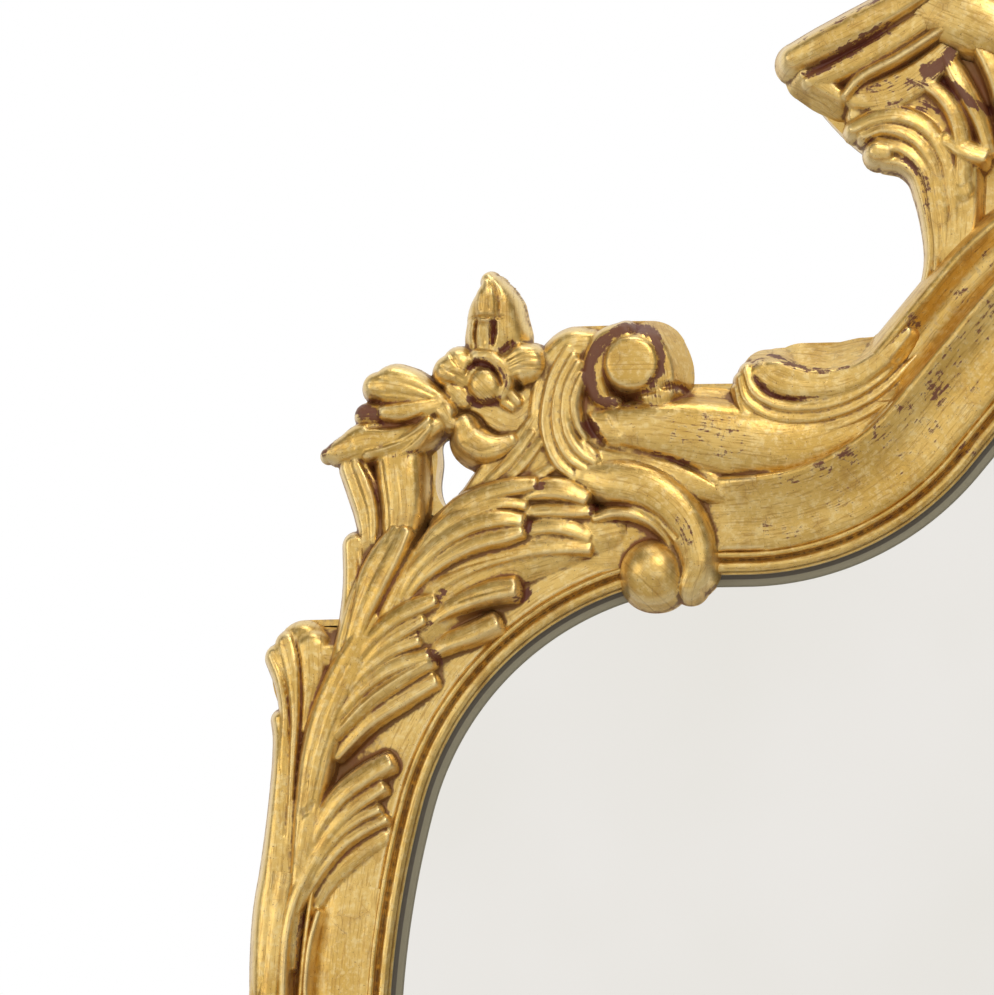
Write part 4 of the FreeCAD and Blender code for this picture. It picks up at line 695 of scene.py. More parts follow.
def carved_piece(relief, number, fields):
    """Points, quads and fields of one piece of a relief, with walls down to the boards."""
    corners = [(0, 0), (1, 0), (1, 1), (0, 1)]
    count = relief.x.shape
    cells = np.stack([relief.height[i:count[0] - 1 + i, j:count[1] - 1 + j] for i, j in corners])
    owners = np.stack([relief.owner[i:count[0] - 1 + i, j:count[1] - 1 + j] for i, j in corners])
    top = cells.argmax(axis=0)
    owner = np.take_along_axis(owners, top[None], axis=0)[0]
    used = (cells.max(axis=0) > 0) & (owner == number)
    number_of = np.arange(relief.x.size).reshape(count)
    quads = np.stack([number_of[i:count[0] - 1 + i, j:count[1] - 1 + j][used] for i, j in corners], axis=1)
    # The outline is drawn in to where the flanks meet the boards.
    slope_x, slope_z = np.gradient(relief.height, PITCH)
    steep = np.maximum(slope_x ** 2 + slope_z ** 2, LEAST_SLOPE)
    pull = np.where(relief.height < 0, -relief.height / steep, 0)
    reach = np.hypot(pull * slope_x, pull * slope_z)
    pull *= np.minimum(1, MOST_PULL / np.maximum(reach, TINY))
    points = np.stack([
        (relief.x + pull * slope_x).ravel(),
        -(BOARD_FRONT + np.maximum(relief.height, 0)).ravel(),
        (relief.z + pull * slope_z).ravel(),
    ], axis=1)
    kept, flat = np.unique(quads, return_inverse=True)
    fields = {name: field.ravel()[kept] for name, field in fields.items()}
    return walled(points[kept], flat.reshape(quads.shape), fields)


def walled(points, quads, fields):
    """Adds the walls of a carved piece, down to the boards."""
    edges = np.concatenate([quads[:, [k, (k + 1) % 4]] for k in range(4)])
    key = np.sort(edges, axis=1)
    _, first, times = np.unique(key, axis=0, return_index=True, return_counts=True)
    rim = edges[first[times == 1]]
    tops = np.unique(rim)
    foot_of = {top: len(points) + k for k, top in enumerate(tops)}
    feet = points[tops] * (1, 0, 1) - (0, BOARD_FRONT, 0)
    walls = [(b, a, foot_of[a], foot_of[b]) for a, b in rim]
    fields = {name: np.concatenate([field, field[tops]]) for name, field in fields.items()}
    return np.concatenate([points, feet]), np.concatenate([quads, walls]), fields


def new_piece(name, points, faces, fields, mirrored=(False, False)):
    """A mesh object in metres, turned over to another corner where asked."""
    points = np.array(points, float) * MM
    faces = np.array(faces)
    if mirrored[0]:
        points[:, 0] *= -1
    if mirrored[1]:
        points[:, 2] *= -1
    if mirrored[0] != mirrored[1]:
        faces = faces[:, ::-1]
    mesh = bpy.data.meshes.new(name)
    mesh.from_pydata(points.tolist(), [], faces.tolist())
    for field, values in fields.items():
        mesh.attributes.new(field, "FLOAT", "POINT").data.foreach_set("value", values.astype(np.float32))
    mesh.update()
    mesh.shade_smooth()
    piece = bpy.data.objects.new(name, mesh)
    bpy.context.scene.collection.objects.link(piece)
    return piece


def closed_back(piece):
    """Fills the open back of a carved piece and marks its rim as a crisp edge."""
    bm = bmesh.new()
    bm.from_mesh(piece.data)
    bmesh.ops.remove_doubles(bm, verts=bm.verts, dist=WELD * MM)
    open_edges = [edge for edge in bm.edges if edge.is_boundary]
    bmesh.ops.triangle_fill(bm, use_beauty=False, use_dissolve=False, edges=open_edges, normal=(0, 1, 0))
    bmesh.ops.recalc_face_normals(bm, faces=bm.faces)
    bm.to_mesh(piece.data)
    bm.free()
    piece.data.set_sharp_from_angle(angle=math.radians(CRISP_CARVING))


def swept_mesh(name, path, profile, material):
    """A moulding swept along a path with Geometry Nodes; the profile is offsets outwards and heights."""
    def curve(title, points):
        data = bpy.data.curves.new(title, "CURVE")
        data.dimensions = "3D"
        spline = data.splines.new("POLY")
        spline.points.add(len(points) - 1)
        spline.points.foreach_set("co", np.column_stack([points, np.ones(len(points))]).ravel())
        made = bpy.data.objects.new(title, data)
        bpy.context.scene.collection.objects.link(made)
        return made

    offsets, heights = np.array(profile).T
    flat = np.zeros(len(offsets))
    section = curve(name + "_section", np.column_stack([heights, -offsets, flat]) * MM)
    run = np.column_stack([path[:, 0], np.full(len(path), -BOARD_FRONT), path[:, 1]]) * MM
    sweep_path = curve(name, run)
    tree = bpy.data.node_groups.new(name, "GeometryNodeTree")
    tree.interface.new_socket("Path", in_out="INPUT", socket_type="NodeSocketGeometry")
    section_socket = tree.interface.new_socket("Section", in_out="INPUT", socket_type="NodeSocketObject")
    finish_socket = tree.interface.new_socket("Finish", in_out="INPUT", socket_type="NodeSocketMaterial")
    tree.interface.new_socket("Moulding", in_out="OUTPUT", socket_type="NodeSocketGeometry")
    nodes = tree.nodes
    start = nodes.new("NodeGroupInput")
    section_in = nodes.new("GeometryNodeObjectInfo")
    upright = nodes.new("GeometryNodeSetCurveNormal")
    upright.mode = "FREE"
    upright.inputs["Normal"].default_value = (0, -1, 0)
    sweep = nodes.new("GeometryNodeCurveToMesh")
    realize = nodes.new("GeometryNodeRealizeInstances")
    paint = nodes.new("GeometryNodeSetMaterial")
    end = nodes.new("NodeGroupOutput")
    link = tree.links.new
    link(start.outputs["Path"], upright.inputs["Curve"])
    link(start.outputs["Section"], section_in.inputs["Object"])
    link(upright.outputs["Curve"], sweep.inputs["Curve"])
    link(section_in.outputs["Geometry"], sweep.inputs["Profile Curve"])
    link(sweep.outputs["Mesh"], realize.inputs["Geometry"])
    link(realize.outputs["Geometry"], paint.inputs["Geometry"])
    link(start.outputs["Finish"], paint.inputs["Material"])
    link(paint.outputs["Geometry"], end.inputs["Moulding"])
    modifier = sweep_path.modifiers.new("sweep", "NODES")
    modifier.node_group = tree
    modifier[section_socket.identifier] = section
    modifier[finish_socket.identifier] = material
    mesh = bpy.data.meshes.new_from_object(sweep_path.evaluated_get(bpy.context.evaluated_depsgraph_get()))
    for made in (sweep_path, section):
        bpy.data.objects.remove(made)
    return mesh


class Wiring:
    """A node tree whose nodes are added and linked by short calls."""

    def __init__(self, tree):
        self.tree = tree

    def link(self, value, socket):
        """Links an output to a socket, or sets a plain value on it."""
        if isinstance(value, bpy.types.NodeSocket):
            self.tree.links.new(value, socket)
        else:
            socket.default_value = value

    def depth(self, place):
        """The part of a place or direction that points away from the viewer's side."""
        node = self.tree.nodes.new("ShaderNodeSeparateXYZ")
        self.link(place, node.inputs["Vector"])
        return node.outputs["Y"]

    def math(self, operation, first, second=0.0, clamp=False):
        """A sum, product or the like of two values."""
        node = self.tree.nodes.new("ShaderNodeMath")
        node.operation = operation
        node.use_clamp = clamp
        self.link(first, node.inputs[0])
        self.link(second, node.inputs[1])
        return node.outputs[0]

    def ramp(self, value, low, high, to_low=0.0, to_high=1.0, bend="SMOOTHSTEP"):
        """A value stretched from one range to another."""
        node = self.tree.nodes.new("ShaderNodeMapRange")
        node.interpolation_type = bend
        settings = {"From Min": low, "From Max": high, "To Min": to_low, "To Max": to_high}
        for socket, number in settings.items():
            node.inputs[socket].default_value = number
        self.link(value, node.inputs["Value"])
        return node.outputs["Result"]


class Finish(Wiring):
    """A material on the piece's own coordinates."""

    def __init__(self, name):
        self.material = bpy.data.materials.new(name)
        self.material.use_nodes = True
        super().__init__(self.material.node_tree)
        self.shader = self.tree.nodes["Principled BSDF"]
        self.place = self.tree.nodes.new("ShaderNodeTexCoord").outputs["Object"]

    def noise(self, scale, detail=4.0, rough=0.55, stretch=(1, 1, 1), distort=0.0, place=None):
        """Noise from 0 to 1 on the piece's own place, in features per metre."""
        mapping = self.tree.nodes.new("ShaderNodeMapping")
        mapping.inputs["Scale"].default_value = stretch
        self.link(place or self.place, mapping.inputs["Vector"])
        node = self.tree.nodes.new("ShaderNodeTexNoise")
        settings = {"Scale": scale, "Detail": detail, "Roughness": rough, "Distortion": distort}
        for socket, value in settings.items():
            node.inputs[socket].default_value = value
        self.link(mapping.outputs["Vector"], node.inputs["Vector"])
        return node.outputs["Fac"]

    def cells(self, scale):
        """Distance to the cracks between cells."""
        node = self.tree.nodes.new("ShaderNodeTexVoronoi")
        node.feature = "DISTANCE_TO_EDGE"
        node.inputs["Scale"].default_value = scale
        self.link(self.place, node.inputs["Vector"])
        return node.outputs["Distance"]

    def attribute(self, name):
        """A field that the mesh carries, such as its hollows for painted shade, its bole patches or its
        grain.
        """
        node = self.tree.nodes.new("ShaderNodeAttribute")
        node.attribute_name = name
        return node.outputs["Fac"]

    def grain(self):
        """Place along and across the chisel strokes, in millimetres."""
        node = self.tree.nodes.new("ShaderNodeCombineXYZ")
        self.link(self.attribute("along"), node.inputs["X"])
        self.link(self.attribute("across"), node.inputs["Y"])
        return node.outputs["Vector"]

    def mix(self, share, first, second):
        """Two colours mixed."""
        node = self.tree.nodes.new("ShaderNodeMix")
        node.data_type = "RGBA"
        self.link(share, node.inputs[0])
        self.link(first, node.inputs[6])
        self.link(second, node.inputs[7])
        return node.outputs[2]

    def bump(self, height, depth, strength=1.0, under=None):
        """Fine relief over the relief under it."""
        node = self.tree.nodes.new("ShaderNodeBump")
        node.inputs["Strength"].default_value = strength
        node.inputs["Distance"].default_value = depth
        self.link(height, node.inputs["Height"])
        if under is not None:
            self.link(under, node.inputs["Normal"])
        return node.outputs["Normal"]

    def set(self, **sockets):
        """Fills the shader's sockets; an underscore in a name stands for a space."""
        for name, value in sockets.items():
            self.link(value, self.shader.inputs[name.replace("_", " ")])
        return self.material


# Colours of the leaf with its painted ridge highlight and painted hollow shade, the bole under it, the
# painted reflection strip inside the bead, and the boards.
LEAF_DEEP = (0.63, 0.395, 0.098, 1)
LEAF_LIGHT = (0.78, 0.54, 0.18, 1)
LEAF_PALE = (0.92, 0.75, 0.38, 1)
LEAF_BROWN = (0.50, 0.29, 0.075, 1)
STREAK_BROWN = (0.44, 0.245, 0.06, 1)
RIDGE_HIGHLIGHT_GOLD = (0.93, 0.76, 0.41, 1)
HOLLOW_SHADE_RED = (0.23, 0.085, 0.022, 1)
HOLLOW_SHADE_OLIVE = (0.21, 0.10, 0.022, 1)
BOLE_RED = (0.115, 0.021, 0.008, 1)
SLIP_REFLECTION_GREY = (0.24, 0.215, 0.145, 1)
SLIP_REFLECTION_DARK = (0.075, 0.06, 0.04, 1)
WALNUT_DARK = (0.16, 0.085, 0.04, 1)
WALNUT_LIGHT = (0.34, 0.20, 0.10, 1)


def gilding(name, on_board=False):
    """Old leaf over red bole: mottled, streaked along the chisel and rubbed through in places; ridges get a
    painted highlight, partly burnished gold, and hollows a painted shade, partly toning of the gilt.
    """
    gold = Finish(name)
    cloud = gold.noise(20, 5, 0.6)
    patch = gold.noise(75, 6, 0.62)
    mottle = gold.noise(330, 6, 0.64)
    speck = gold.noise(1150, 3, 0.5)
    streak = gold.noise(0.9, 4, 0.6, (0.09, 1, 1), place=gold.grain())
    leaf = gold.mix(gold.ramp(cloud, 0.35, 0.68), LEAF_DEEP, LEAF_LIGHT)
    leaf = gold.mix(gold.ramp(mottle, 0.46, 0.66, 0, 0.5), leaf, LEAF_PALE)
    leaf = gold.mix(gold.ramp(patch, 0.5, 0.7, 0, 0.6), leaf, LEAF_BROWN)
    leaf = gold.mix(gold.ramp(streak, 0.5, 0.64, 0, 0.6), leaf, STREAK_BROWN)
    # Painted highlight: proud ridges are paled towards bright gold, partly as burnished gold.
    leaf = gold.mix(gold.ramp(gold.attribute("proud"), 0.15, 0.8, 0, 0.4), leaf, RIDGE_HIGHLIGHT_GOLD)
    # Painted shade: hollows are darkened towards red and olive brown and made less metal, in part as toning
    # of the old gilt.
    ragged = gold.math("ADD", gold.attribute("hollow"), gold.ramp(mottle, 0.3, 0.7, -0.16, 0.16))
    hollow_shade = gold.ramp(ragged, 0.1, 0.5)
    shade = gold.mix(gold.ramp(cloud, 0.4, 0.6), HOLLOW_SHADE_RED, HOLLOW_SHADE_OLIVE)
    colour = gold.mix(hollow_shade, leaf, shade)
    torn = gold.math("MULTIPLY", gold.math("SUBTRACT", streak, 0.52), 1.3)
    torn = gold.math("ADD", torn, gold.math("MULTIPLY", gold.math("SUBTRACT", mottle, 0.52), 1.9))
    worn = gold.ramp(gold.math("ADD", gold.attribute("bole"), torn), 0.4, 0.66)
    worn = gold.math("MULTIPLY", worn, gold.ramp(gold.attribute("bole"), 0.05, 0.3))
    cracks = gold.ramp(gold.cells(140), 0.0, 0.025, 0.3, 0)
    cracks = gold.math("MULTIPLY", cracks, gold.ramp(patch, 0.48, 0.62))
    flecks = gold.math("MAXIMUM", gold.ramp(speck, 0.66, 0.72, 0, 0.65), cracks)
    bole = gold.math("MAXIMUM", gold.math("MULTIPLY", worn, 0.93), flecks)
    colour = gold.mix(bole, colour, BOLE_RED)
    # Painted reflection: the strip inside the bead is painted grey and near black for the glass's reflection
    # of the bead's unlit inner side.
    slip = gold.attribute("slip")
    colour = gold.mix(gold.ramp(slip, 0.3, 0.5), colour, SLIP_REFLECTION_GREY)
    colour = gold.mix(gold.ramp(slip, 0.7, 0.9), colour, SLIP_REFLECTION_DARK)
    plain = gold.math("MAXIMUM", gold.math("MULTIPLY", bole, 0.9), gold.math("MULTIPLY", hollow_shade, 0.6))
    plain = gold.math("MAXIMUM", plain, slip)
    if on_board:
        behind = gold.ramp(gold.depth(gold.place), BACK_OF_GOLD - EDGE_OF_GOLD, BACK_OF_GOLD)
        grain = gold.noise(90, 6, 0.6, (1, 1, 0.08), 0.6)
        wood = gold.mix(gold.ramp(grain, 0.3, 0.7), WALNUT_DARK, WALNUT_LIGHT)
        colour = gold.mix(behind, colour, wood)
        plain = gold.math("MAXIMUM", plain, behind)
    metal = gold.math("SUBTRACT", 0.9, plain, clamp=True)
    rough = gold.math("ADD", gold.ramp(mottle, 0.3, 0.7, 0.27, 0.42), gold.math("MULTIPLY", plain, 0.2))
    lumps = gold.bump(cloud, 0.0009, 0.5)
    lumps = gold.bump(patch, 0.0006, 0.6, lumps)
    lumps = gold.bump(streak, 0.0002, 0.5, lumps)
    tooth = gold.bump(mottle, 0.0002, 0.6, lumps)
    return gold.set(Base_Color=colour, Metallic=metal, Roughness=rough, Normal=tooth)


def bare_wood(name, light, dark):
    """Sawn wood: grain along one axis, pores and a dusty surface."""
    wood = Finish(name)
    along = (1, 1, 0.08)
    grain = wood.noise(90, 6, 0.6, along, 0.6)
    pore = wood.noise(900, 3, 0.5, along)
    stain = wood.noise(7, 3, 0.6)
    colour = wood.mix(wood.ramp(grain, 0.3, 0.7), dark, light)
    colour = wood.mix(wood.ramp(pore, 0.58, 0.7, 0, 0.5), colour, dark)
    colour = wood.mix(wood.ramp(stain, 0.45, 0.75, 0, 0.3), colour, dark)
    normal = wood.bump(pore, 0.0002, 0.7, wood.bump(grain, 0.0004, 0.5))
    return wood.set(Base_Color=colour, Roughness=wood.ramp(grain, 0.2, 0.8, 0.6, 0.8), Normal=normal)


def metal_finish(name, bright, dull, low, high):
    """Small stamped metal fittings, dulled and scratched."""
    metal = Finish(name)
    tarnish = metal.noise(160, 5, 0.6)
    scratch = metal.noise(700, 3, 0.6, (1, 1, 0.06))
    colour = metal.mix(metal.ramp(tarnish, 0.35, 0.7), bright, dull)
    rough = metal.ramp(tarnish, 0.3, 0.7, low, high)
    normal = metal.bump(scratch, 0.00006, 0.5)
    return metal.set(Base_Color=colour, Metallic=1.0, Roughness=rough, Normal=normal)


def silvered_glass():
    """Mirror glass: almost white silver, with the faintest clouding."""
    glass = Finish("mirror_silver")
    cloud = glass.noise(6, 3, 0.5)
    colour = glass.mix(glass.ramp(cloud, 0.35, 0.7), (0.86, 0.85, 0.82, 1), (0.89, 0.88, 0.865, 1))
    return glass.set(Base_Color=colour, Metallic=1.0, Roughness=glass.ramp(cloud, 0.3, 0.7, 0.012, 0.03))


def pad_rubber():
    """Grey rubber pads with a matt skin."""
    rubber = Finish("pad_rubber")
    dust = rubber.noise(300, 4, 0.6)
    colour = rubber.mix(rubber.ramp(dust, 0.4, 0.7), (0.05, 0.05, 0.052, 1), (0.12, 0.118, 0.115, 1))
    return rubber.set(Base_Color=colour, Roughness=rubber.ramp(dust, 0.3, 0.7, 0.65, 0.85),
                      Normal=rubber.bump(dust, 0.0001, 0.6))


GILDED = gilding("gilded_carving")
BACKING = bare_wood("backing_pine", (0.42, 0.28, 0.15, 1), (0.24, 0.14, 0.07, 1))
JOINT = bare_wood("beech_joint", (0.48, 0.30, 0.16, 1), (0.30, 0.17, 0.08, 1))
BRASS = metal_finish("hanger_brass", (0.72, 0.50, 0.20, 1), (0.42, 0.27, 0.10, 1), 0.25, 0.5)
STEEL = metal_finish("hanger_steel", (0.55, 0.54, 0.52, 1), (0.36, 0.35, 0.34, 1), 0.3, 0.5)
CAD_FINISHES = [
    ("mirror_glass", silvered_glass()), ("backing_blocks", JOINT), ("backing_board", BACKING),
    ("board_dowels", JOINT), ("joint_tongues", JOINT), ("hanger_plate", BRASS), ("hanger_ring", BRASS),
    ("hanger_screws", STEEL), ("wall_pads", pad_rubber()), ("board", gilding("gilded_board", on_board=True)),
]
for node, cad_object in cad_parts.items():
    for word, material in CAD_FINISHES:
        if word in node:
            cad_object.data.materials.clear()
            cad_object.data.materials.append(material)
            break


def finish_piece(piece, node):
    """Gilds a carved piece, which then stands for its node of the frame."""
    piece.data.materials.clear()
    piece.data.materials.append(GILDED)
    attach(piece, "frame")
    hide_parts(node)


def carve(node, points, quads, fields, mirrored):
    """One carved and gilded piece with a closed back."""
    piece = new_piece("gilt_" + node, points, quads, fields, mirrored)
    closed_back(piece)
    finish_piece(piece, node)


def smooth_profile(profile):
    """A profile with its bends rounded."""
    rows = np.column_stack([np.array(profile), np.ones((len(profile), 2))])
    return flow(rows, PROFILE_STEP)[:, :2]


def mean_of_rows(values, reach):
    """Mean of a row of values with its neighbours."""
    window = np.ones(2 * reach + 1) / (2 * reach + 1)
    return np.convolve(np.pad(values, reach, mode="edge"), window, mode="valid")


def moulding(name, path, profile, stride):
    """A swept moulding as points, faces and fields; the stride thins the rows of its path."""
    path = np.concatenate([path[:-1:stride], path[-1:]])
    fine = smooth_profile(profile)
    mesh = swept_mesh(name, path, fine, GILDED)
    points = np.zeros(len(mesh.vertices) * 3)
    mesh.vertices.foreach_get("co", points)
    points = points.reshape(-1, 3) / MM
    faces = np.array([polygon.vertices[:] for polygon in mesh.polygons])
    bpy.data.meshes.remove(mesh)
    offsets, heights = fine.T
    # Hollows and ridges of the profile, for the painted shade and painted highlight of the gilding.
    smooth = mean_of_rows(heights, NEAR_ROWS)
    broad = mean_of_rows(heights, WIDE_ROWS)
    hollow = np.clip((smooth - heights) / 3.0, 0, 1) + np.clip((broad - heights) / 12.0, 0, 0.35)
    count = len(path)
    along = np.concatenate([[0], np.cumsum(np.hypot(*np.diff(path, axis=0).T))])
    fields = {
        "hollow": np.tile(hollow, count),
        "proud": np.tile(np.clip((heights - smooth) / 1.6, 0, 1), count),
        "bole": rubs_on(points),
        "along": np.repeat(along, len(fine)),
        "across": np.tile(offsets, count),
        # Painted reflection strip: its dark tone across the bead's profile.
        "slip": np.tile(np.interp(offsets, SLIP_OFFSETS, SLIP_TONES), count),
    }
    return points, faces, fields


def rubs_on(points):
    """Rubs of the rail at the points of a moulding."""
    worn = np.zeros(len(points))
    for x, z, reach, strength in in_plane(RAIL_RUBS):
        away = np.hypot(points[:, 0] - x, points[:, 2] - z)
        worn = np.maximum(worn, strength * np.clip(RUB_FAR - away / reach, 0, 1))
    return worn


def closed_ends(piece):
    """Closes the ends of a swept piece and turns its faces outwards."""
    bm = bmesh.new()
    bm.from_mesh(piece.data)
    open_edges = [edge for edge in bm.edges if edge.is_boundary]
    bmesh.ops.holes_fill(bm, edges=open_edges, sides=0)
    bmesh.ops.recalc_face_normals(bm, faces=bm.faces)
    bm.to_mesh(piece.data)
    bm.free()
    piece.data.set_sharp_from_angle(angle=math.radians(CRISP_MOULDING))


def build_mouldings():
    """Beads and stile mouldings swept along the sight line."""
    lower_half = SIGHT[:0:-1, :2] * (1, -1)
    whole_side = np.concatenate([lower_half, SIGHT[:, :2]])
    middle = len(lower_half)
    top = SIGHT[BEAD_SPLIT:, :2]
    whole_top = np.concatenate([top, top[-2::-1] * (-1, 1)])
    sides = [("left", (False, False)), ("right", (True, False))]
    plans = [
        ("side_bead", whole_side[middle - BEAD_SPLIT - 1:middle + BEAD_SPLIT + 2], BEAD_PROFILE,
         [(f"side_bead_{side}", turned) for side, turned in sides]),
        ("stile_moulding", whole_side[middle - STILE_END:middle + STILE_END + 1], STILE_PROFILE,
         [(f"stile_moulding_{side}", turned) for side, turned in sides]),
        ("top_bead", whole_top, BEAD_PROFILE, [("top_bead", (False, False)), ("bottom_bead", (False, True))]),
    ]
    for name, path, profile, places in plans:
        points, faces, fields = moulding(name, path, profile, BEAD_STRIDE)
        for node, mirrored in places:
            piece = new_piece("gilt_" + node, points, faces, fields, mirrored)
            closed_ends(piece)
            finish_piece(piece, node)


def corner_relief(with_spray):
    """The carving of the upper left corner; the lower corners have no flower and no leaf pair."""
    relief = Relief(*CORNER_GRID)
    relief.add("stile_acanthus", STILE_ACANTHUS)
    relief.ground(len(relief.names), GROUND_PROFILE, STILE_END - 4, BAND_START + 24)
    relief.add("corner_acanthus", CORNER_ACANTHUS)
    relief.add("volute", VOLUTE)
    relief.add("ball_scroll", BALL_SCROLL)
    relief.ground(len(relief.names), RAIL_PROFILE, BAND_START, BAND_END, (0, BAND_END - BAND_START - LAP))
    relief.ground(len(relief.names), LIP_PROFILE, LIP_START, LIP_END, (5, LIP_END - LIP_START - 2 * LAP))
    relief.add("rail_moulding", RAIL_END)
    if with_spray:
        relief.add("leaf_sprig", LEAF_SPRIG)
        relief.add("flower", FLOWER)
    return relief


def joined(pieces):
    """Several meshes as one, with the fields of each; a field that a mesh lacks is nought."""
    points = np.concatenate([piece[0] for piece in pieces])
    starts = np.cumsum([0] + [len(piece[0]) for piece in pieces[:-1]])
    faces = np.concatenate([piece[1] + start for piece, start in zip(pieces, starts)])
    names = {name for piece in pieces for name in piece[2]}
    fields = {name: np.concatenate([piece[2].get(name, np.zeros(len(piece[0]))) for piece in pieces])
              for name in sorted(names)}
    return points, faces, fields


def build_corners():
    """The four carved corners from two patterns; a rail moulding is its sweep with the carved end."""
    sweeps = [moulding("rail_band", SIGHT[BAND_END - LAP:, :2], RAIL_PROFILE, RAIL_STRIDE),
              moulding("rail_lip", SIGHT[LIP_END - LAP:, :2], LIP_PROFILE, RAIL_STRIDE)]
    for height in ("upper", "lower"):
        relief = corner_relief(height == "upper")
        fields = wear_and_shading(relief)
        for number, name in enumerate(relief.names):
            piece = carved_piece(relief, number, fields)
            if name == "rail_moulding":
                piece = joined(sweeps + [piece])
            for side in ("left", "right"):
                single = name in ("leaf_sprig", "flower")
                node = f"{name}_{side}" if single else f"{height}_{name}_{side}"
                carve(node, *piece, (side == "right", height == "lower"))


def fan_strokes(foot, reach, count):
    """Tapering flutes about a low centre, as rows in millimetres."""
    strokes = []
    for number in range(count):
        angle = math.radians(90 + SHELL_SPREAD * (number / (count - 1) - 0.5))
        rows = []
        for share, wide, high in FLUTE_ROWS:
            far = reach[0] + (reach[1] - reach[0]) * share
            half = far * math.radians(SHELL_SPREAD / (count - 1)) * 0.5 * wide
            rows.append((foot[0] + far * math.cos(angle), foot[1] + far * math.sin(angle), half, high))
        strokes.append(("swell", rows))
    hub = [(foot[0], foot[1] + reach[0] * rise, reach[0] * HUB_WIDTH, HUB_HEIGHT) for rise in HUB_RISE]
    strokes.append(("roll", hub))
    return strokes


def build_crest():
    """Ledges, leaves and shell at the top, and the shell and leaves at the bottom."""
    crest = Relief(*CREST_GRID)
    crest.add("crest_ledge", CREST_LEDGE)
    crest.add("crest_leaf", CREST_LEAF)
    crest.add("crest_shell", fan_strokes(SHELL_FOOT, SHELL_REACH, SHELL_FLUTES), np.array)
    apron = Relief(*APRON_GRID)
    apron.add("apron_leaf", APRON_LEAF, np.array)
    for relief, names, low in ((crest, ("crest_ledge", "crest_leaf"), False), (apron, ("apron_leaf",), True)):
        fields = wear_and_shading(relief)
        for name in names:
            piece = carved_piece(relief, relief.names.index(name), fields)
            for side in ("left", "right"):
                carve(f"{name}_{side}", *piece, (side == "right", low))
    plans = [("crest_shell", SHELL_FOOT, SHELL_REACH, SHELL_FLUTES, False),
             ("apron_shell", APRON_FOOT, APRON_REACH, APRON_FLUTES, True)]
    for name, foot, reach, count, low in plans:
        relief = Relief((-reach[1] - SHELL_SIDE, reach[1] + SHELL_SIDE),
                        (foot[1] - SHELL_BELOW, foot[1] + reach[1] + SHELL_ABOVE))
        relief.add(name, fan_strokes(foot, reach, count), np.array)
        carve(name, *carved_piece(relief, 0, wear_and_shading(relief)), (False, low))


build_mouldings()
build_corners()
build_crest()

# Stage: a pale floor under the mirror, soft lights and a white surround.
FLOOR_HALF = 4.0
FLOOR_DROP = 0.03
floor_mesh = bpy.data.meshes.new("floor")
floor_z = cad_box[0].z - FLOOR_DROP
floor_corners = [(x * FLOOR_HALF, y * FLOOR_HALF, floor_z) for x, y in ((-1, -1), (1, -1), (1, 1), (-1, 1))]
floor_mesh.from_pydata(floor_corners, [], [(0, 1, 2, 3)])
floor = bpy.data.objects.new("floor", floor_mesh)
bpy.context.scene.collection.objects.link(floor)
floor_paint = Finish("pale_floor")
floor_tone = floor_paint.mix(floor_paint.noise(3), (0.78, 0.77, 0.75, 1), (0.82, 0.81, 0.79, 1))
floor_mesh.materials.append(floor_paint.set(Base_Color=floor_tone, Roughness=0.8))


def lamp(name, place, target, width, height, power):
    """A soft rectangular lamp."""
    data = bpy.data.lights.new(name, "AREA")
    data.shape = "RECTANGLE"
    data.size = width
    data.size_y = height
    data.energy = power
    made = bpy.data.objects.new(name, data)
    made.location = place
    made.rotation_mode = "QUATERNION"
    made.rotation_quaternion = (Vector(target) - Vector(place)).to_track_quat("-Z", "Y")
    bpy.context.scene.collection.objects.link(made)


lamp("key_lamp", (0.5, -1.6, 1.9), (-0.2, 0, 0.3), 0.9, 0.9, 14)
lamp("fill_lamp", (-2.0, -1.4, 0.6), (-0.2, 0, 0.2), 1.2, 1.2, 7)
lamp("top_lamp", (-0.2, -0.2, 2.4), (-0.2, 0, 0.3), 0.9, 0.6, 10)


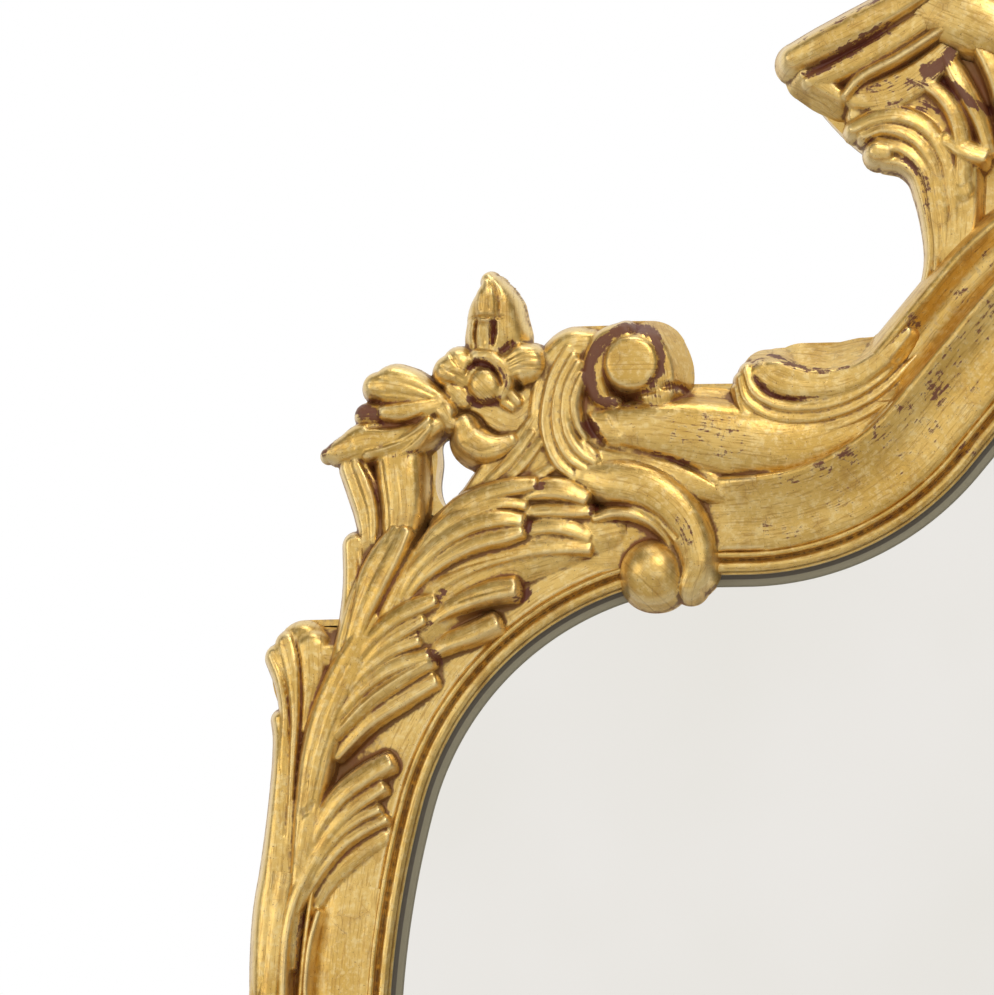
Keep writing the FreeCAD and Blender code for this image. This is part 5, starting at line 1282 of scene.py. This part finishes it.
def surround():
    """A white background for the camera and for gloss; the studio is pale in front and dark to the sides."""
    world = bpy.data.worlds.new("studio")
    world.use_nodes = True
    bpy.context.scene.world = world
    nodes = world.node_tree.nodes
    nodes.clear()
    sky = Wiring(world.node_tree)
    way = nodes.new("ShaderNodeTexCoord").outputs["Generated"]
    back = sky.depth(way)
    towards = nodes.new("ShaderNodeVectorMath")
    towards.operation = "DOT_PRODUCT"
    sky.link(way, towards.inputs[0])
    sky.link(WINDOW_WAY.normalized(), towards.inputs[1])
    window = sky.ramp(towards.outputs["Value"], *WINDOW_EDGE, 0, WINDOW_LIGHT)
    level = sky.math("ADD", sky.ramp(back, *STUDIO_EDGE, *STUDIO_LIGHT), window)
    ray = nodes.new("ShaderNodeLightPath").outputs
    shiny = sky.math("MAXIMUM", ray["Is Glossy Ray"], ray["Is Transmission Ray"])
    lit = sky.math("MAXIMUM", shiny, BACKGROUND_LIGHT)
    mirrored = sky.math("MULTIPLY", lit, sky.ramp(back, *BACKGROUND_START, bend="LINEAR"))
    seen = sky.math("MAXIMUM", mirrored, ray["Is Camera Ray"])
    pick = nodes.new("ShaderNodeMixShader")
    sky.link(seen, pick.inputs["Fac"])
    for slot, tint, strength in ((1, STUDIO_TINT, level), (2, WHITE, 1.0)):
        shade = nodes.new("ShaderNodeBackground")
        sky.link(tint, shade.inputs["Color"])
        sky.link(strength, shade.inputs["Strength"])
        sky.link(shade.outputs["Background"], pick.inputs[slot])
    sky.link(pick.outputs["Shader"], nodes.new("ShaderNodeOutputWorld").inputs["Surface"])


surround()
bpy.context.scene.view_settings.view_transform = "Standard"

# Camera near the mirror's axis, turned to the upper left corner as in the photograph.
VIEW_CENTRE = Vector((-0.3071, -0.040, 0.3647))
VIEW_FROM = Vector((0.277, -1.86, -0.225)) * 1.5
camera_data = bpy.data.cameras.new("camera")
camera = bpy.data.objects.new("camera", camera_data)
bpy.context.scene.collection.objects.link(camera)
camera.location = VIEW_CENTRE + VIEW_FROM
camera.rotation_mode = "QUATERNION"
camera.rotation_quaternion = (-VIEW_FROM).to_track_quat("-Z", "Y")
camera_data.sensor_width = 36.0
foreshortened = -VIEW_FROM.y / VIEW_FROM.length
seen_width = IMAGE_WIDTH * PIXEL * MM * foreshortened ** 0.5
camera_data.lens = camera_data.sensor_width * VIEW_FROM.length / seen_width
bpy.context.scene.camera = camera
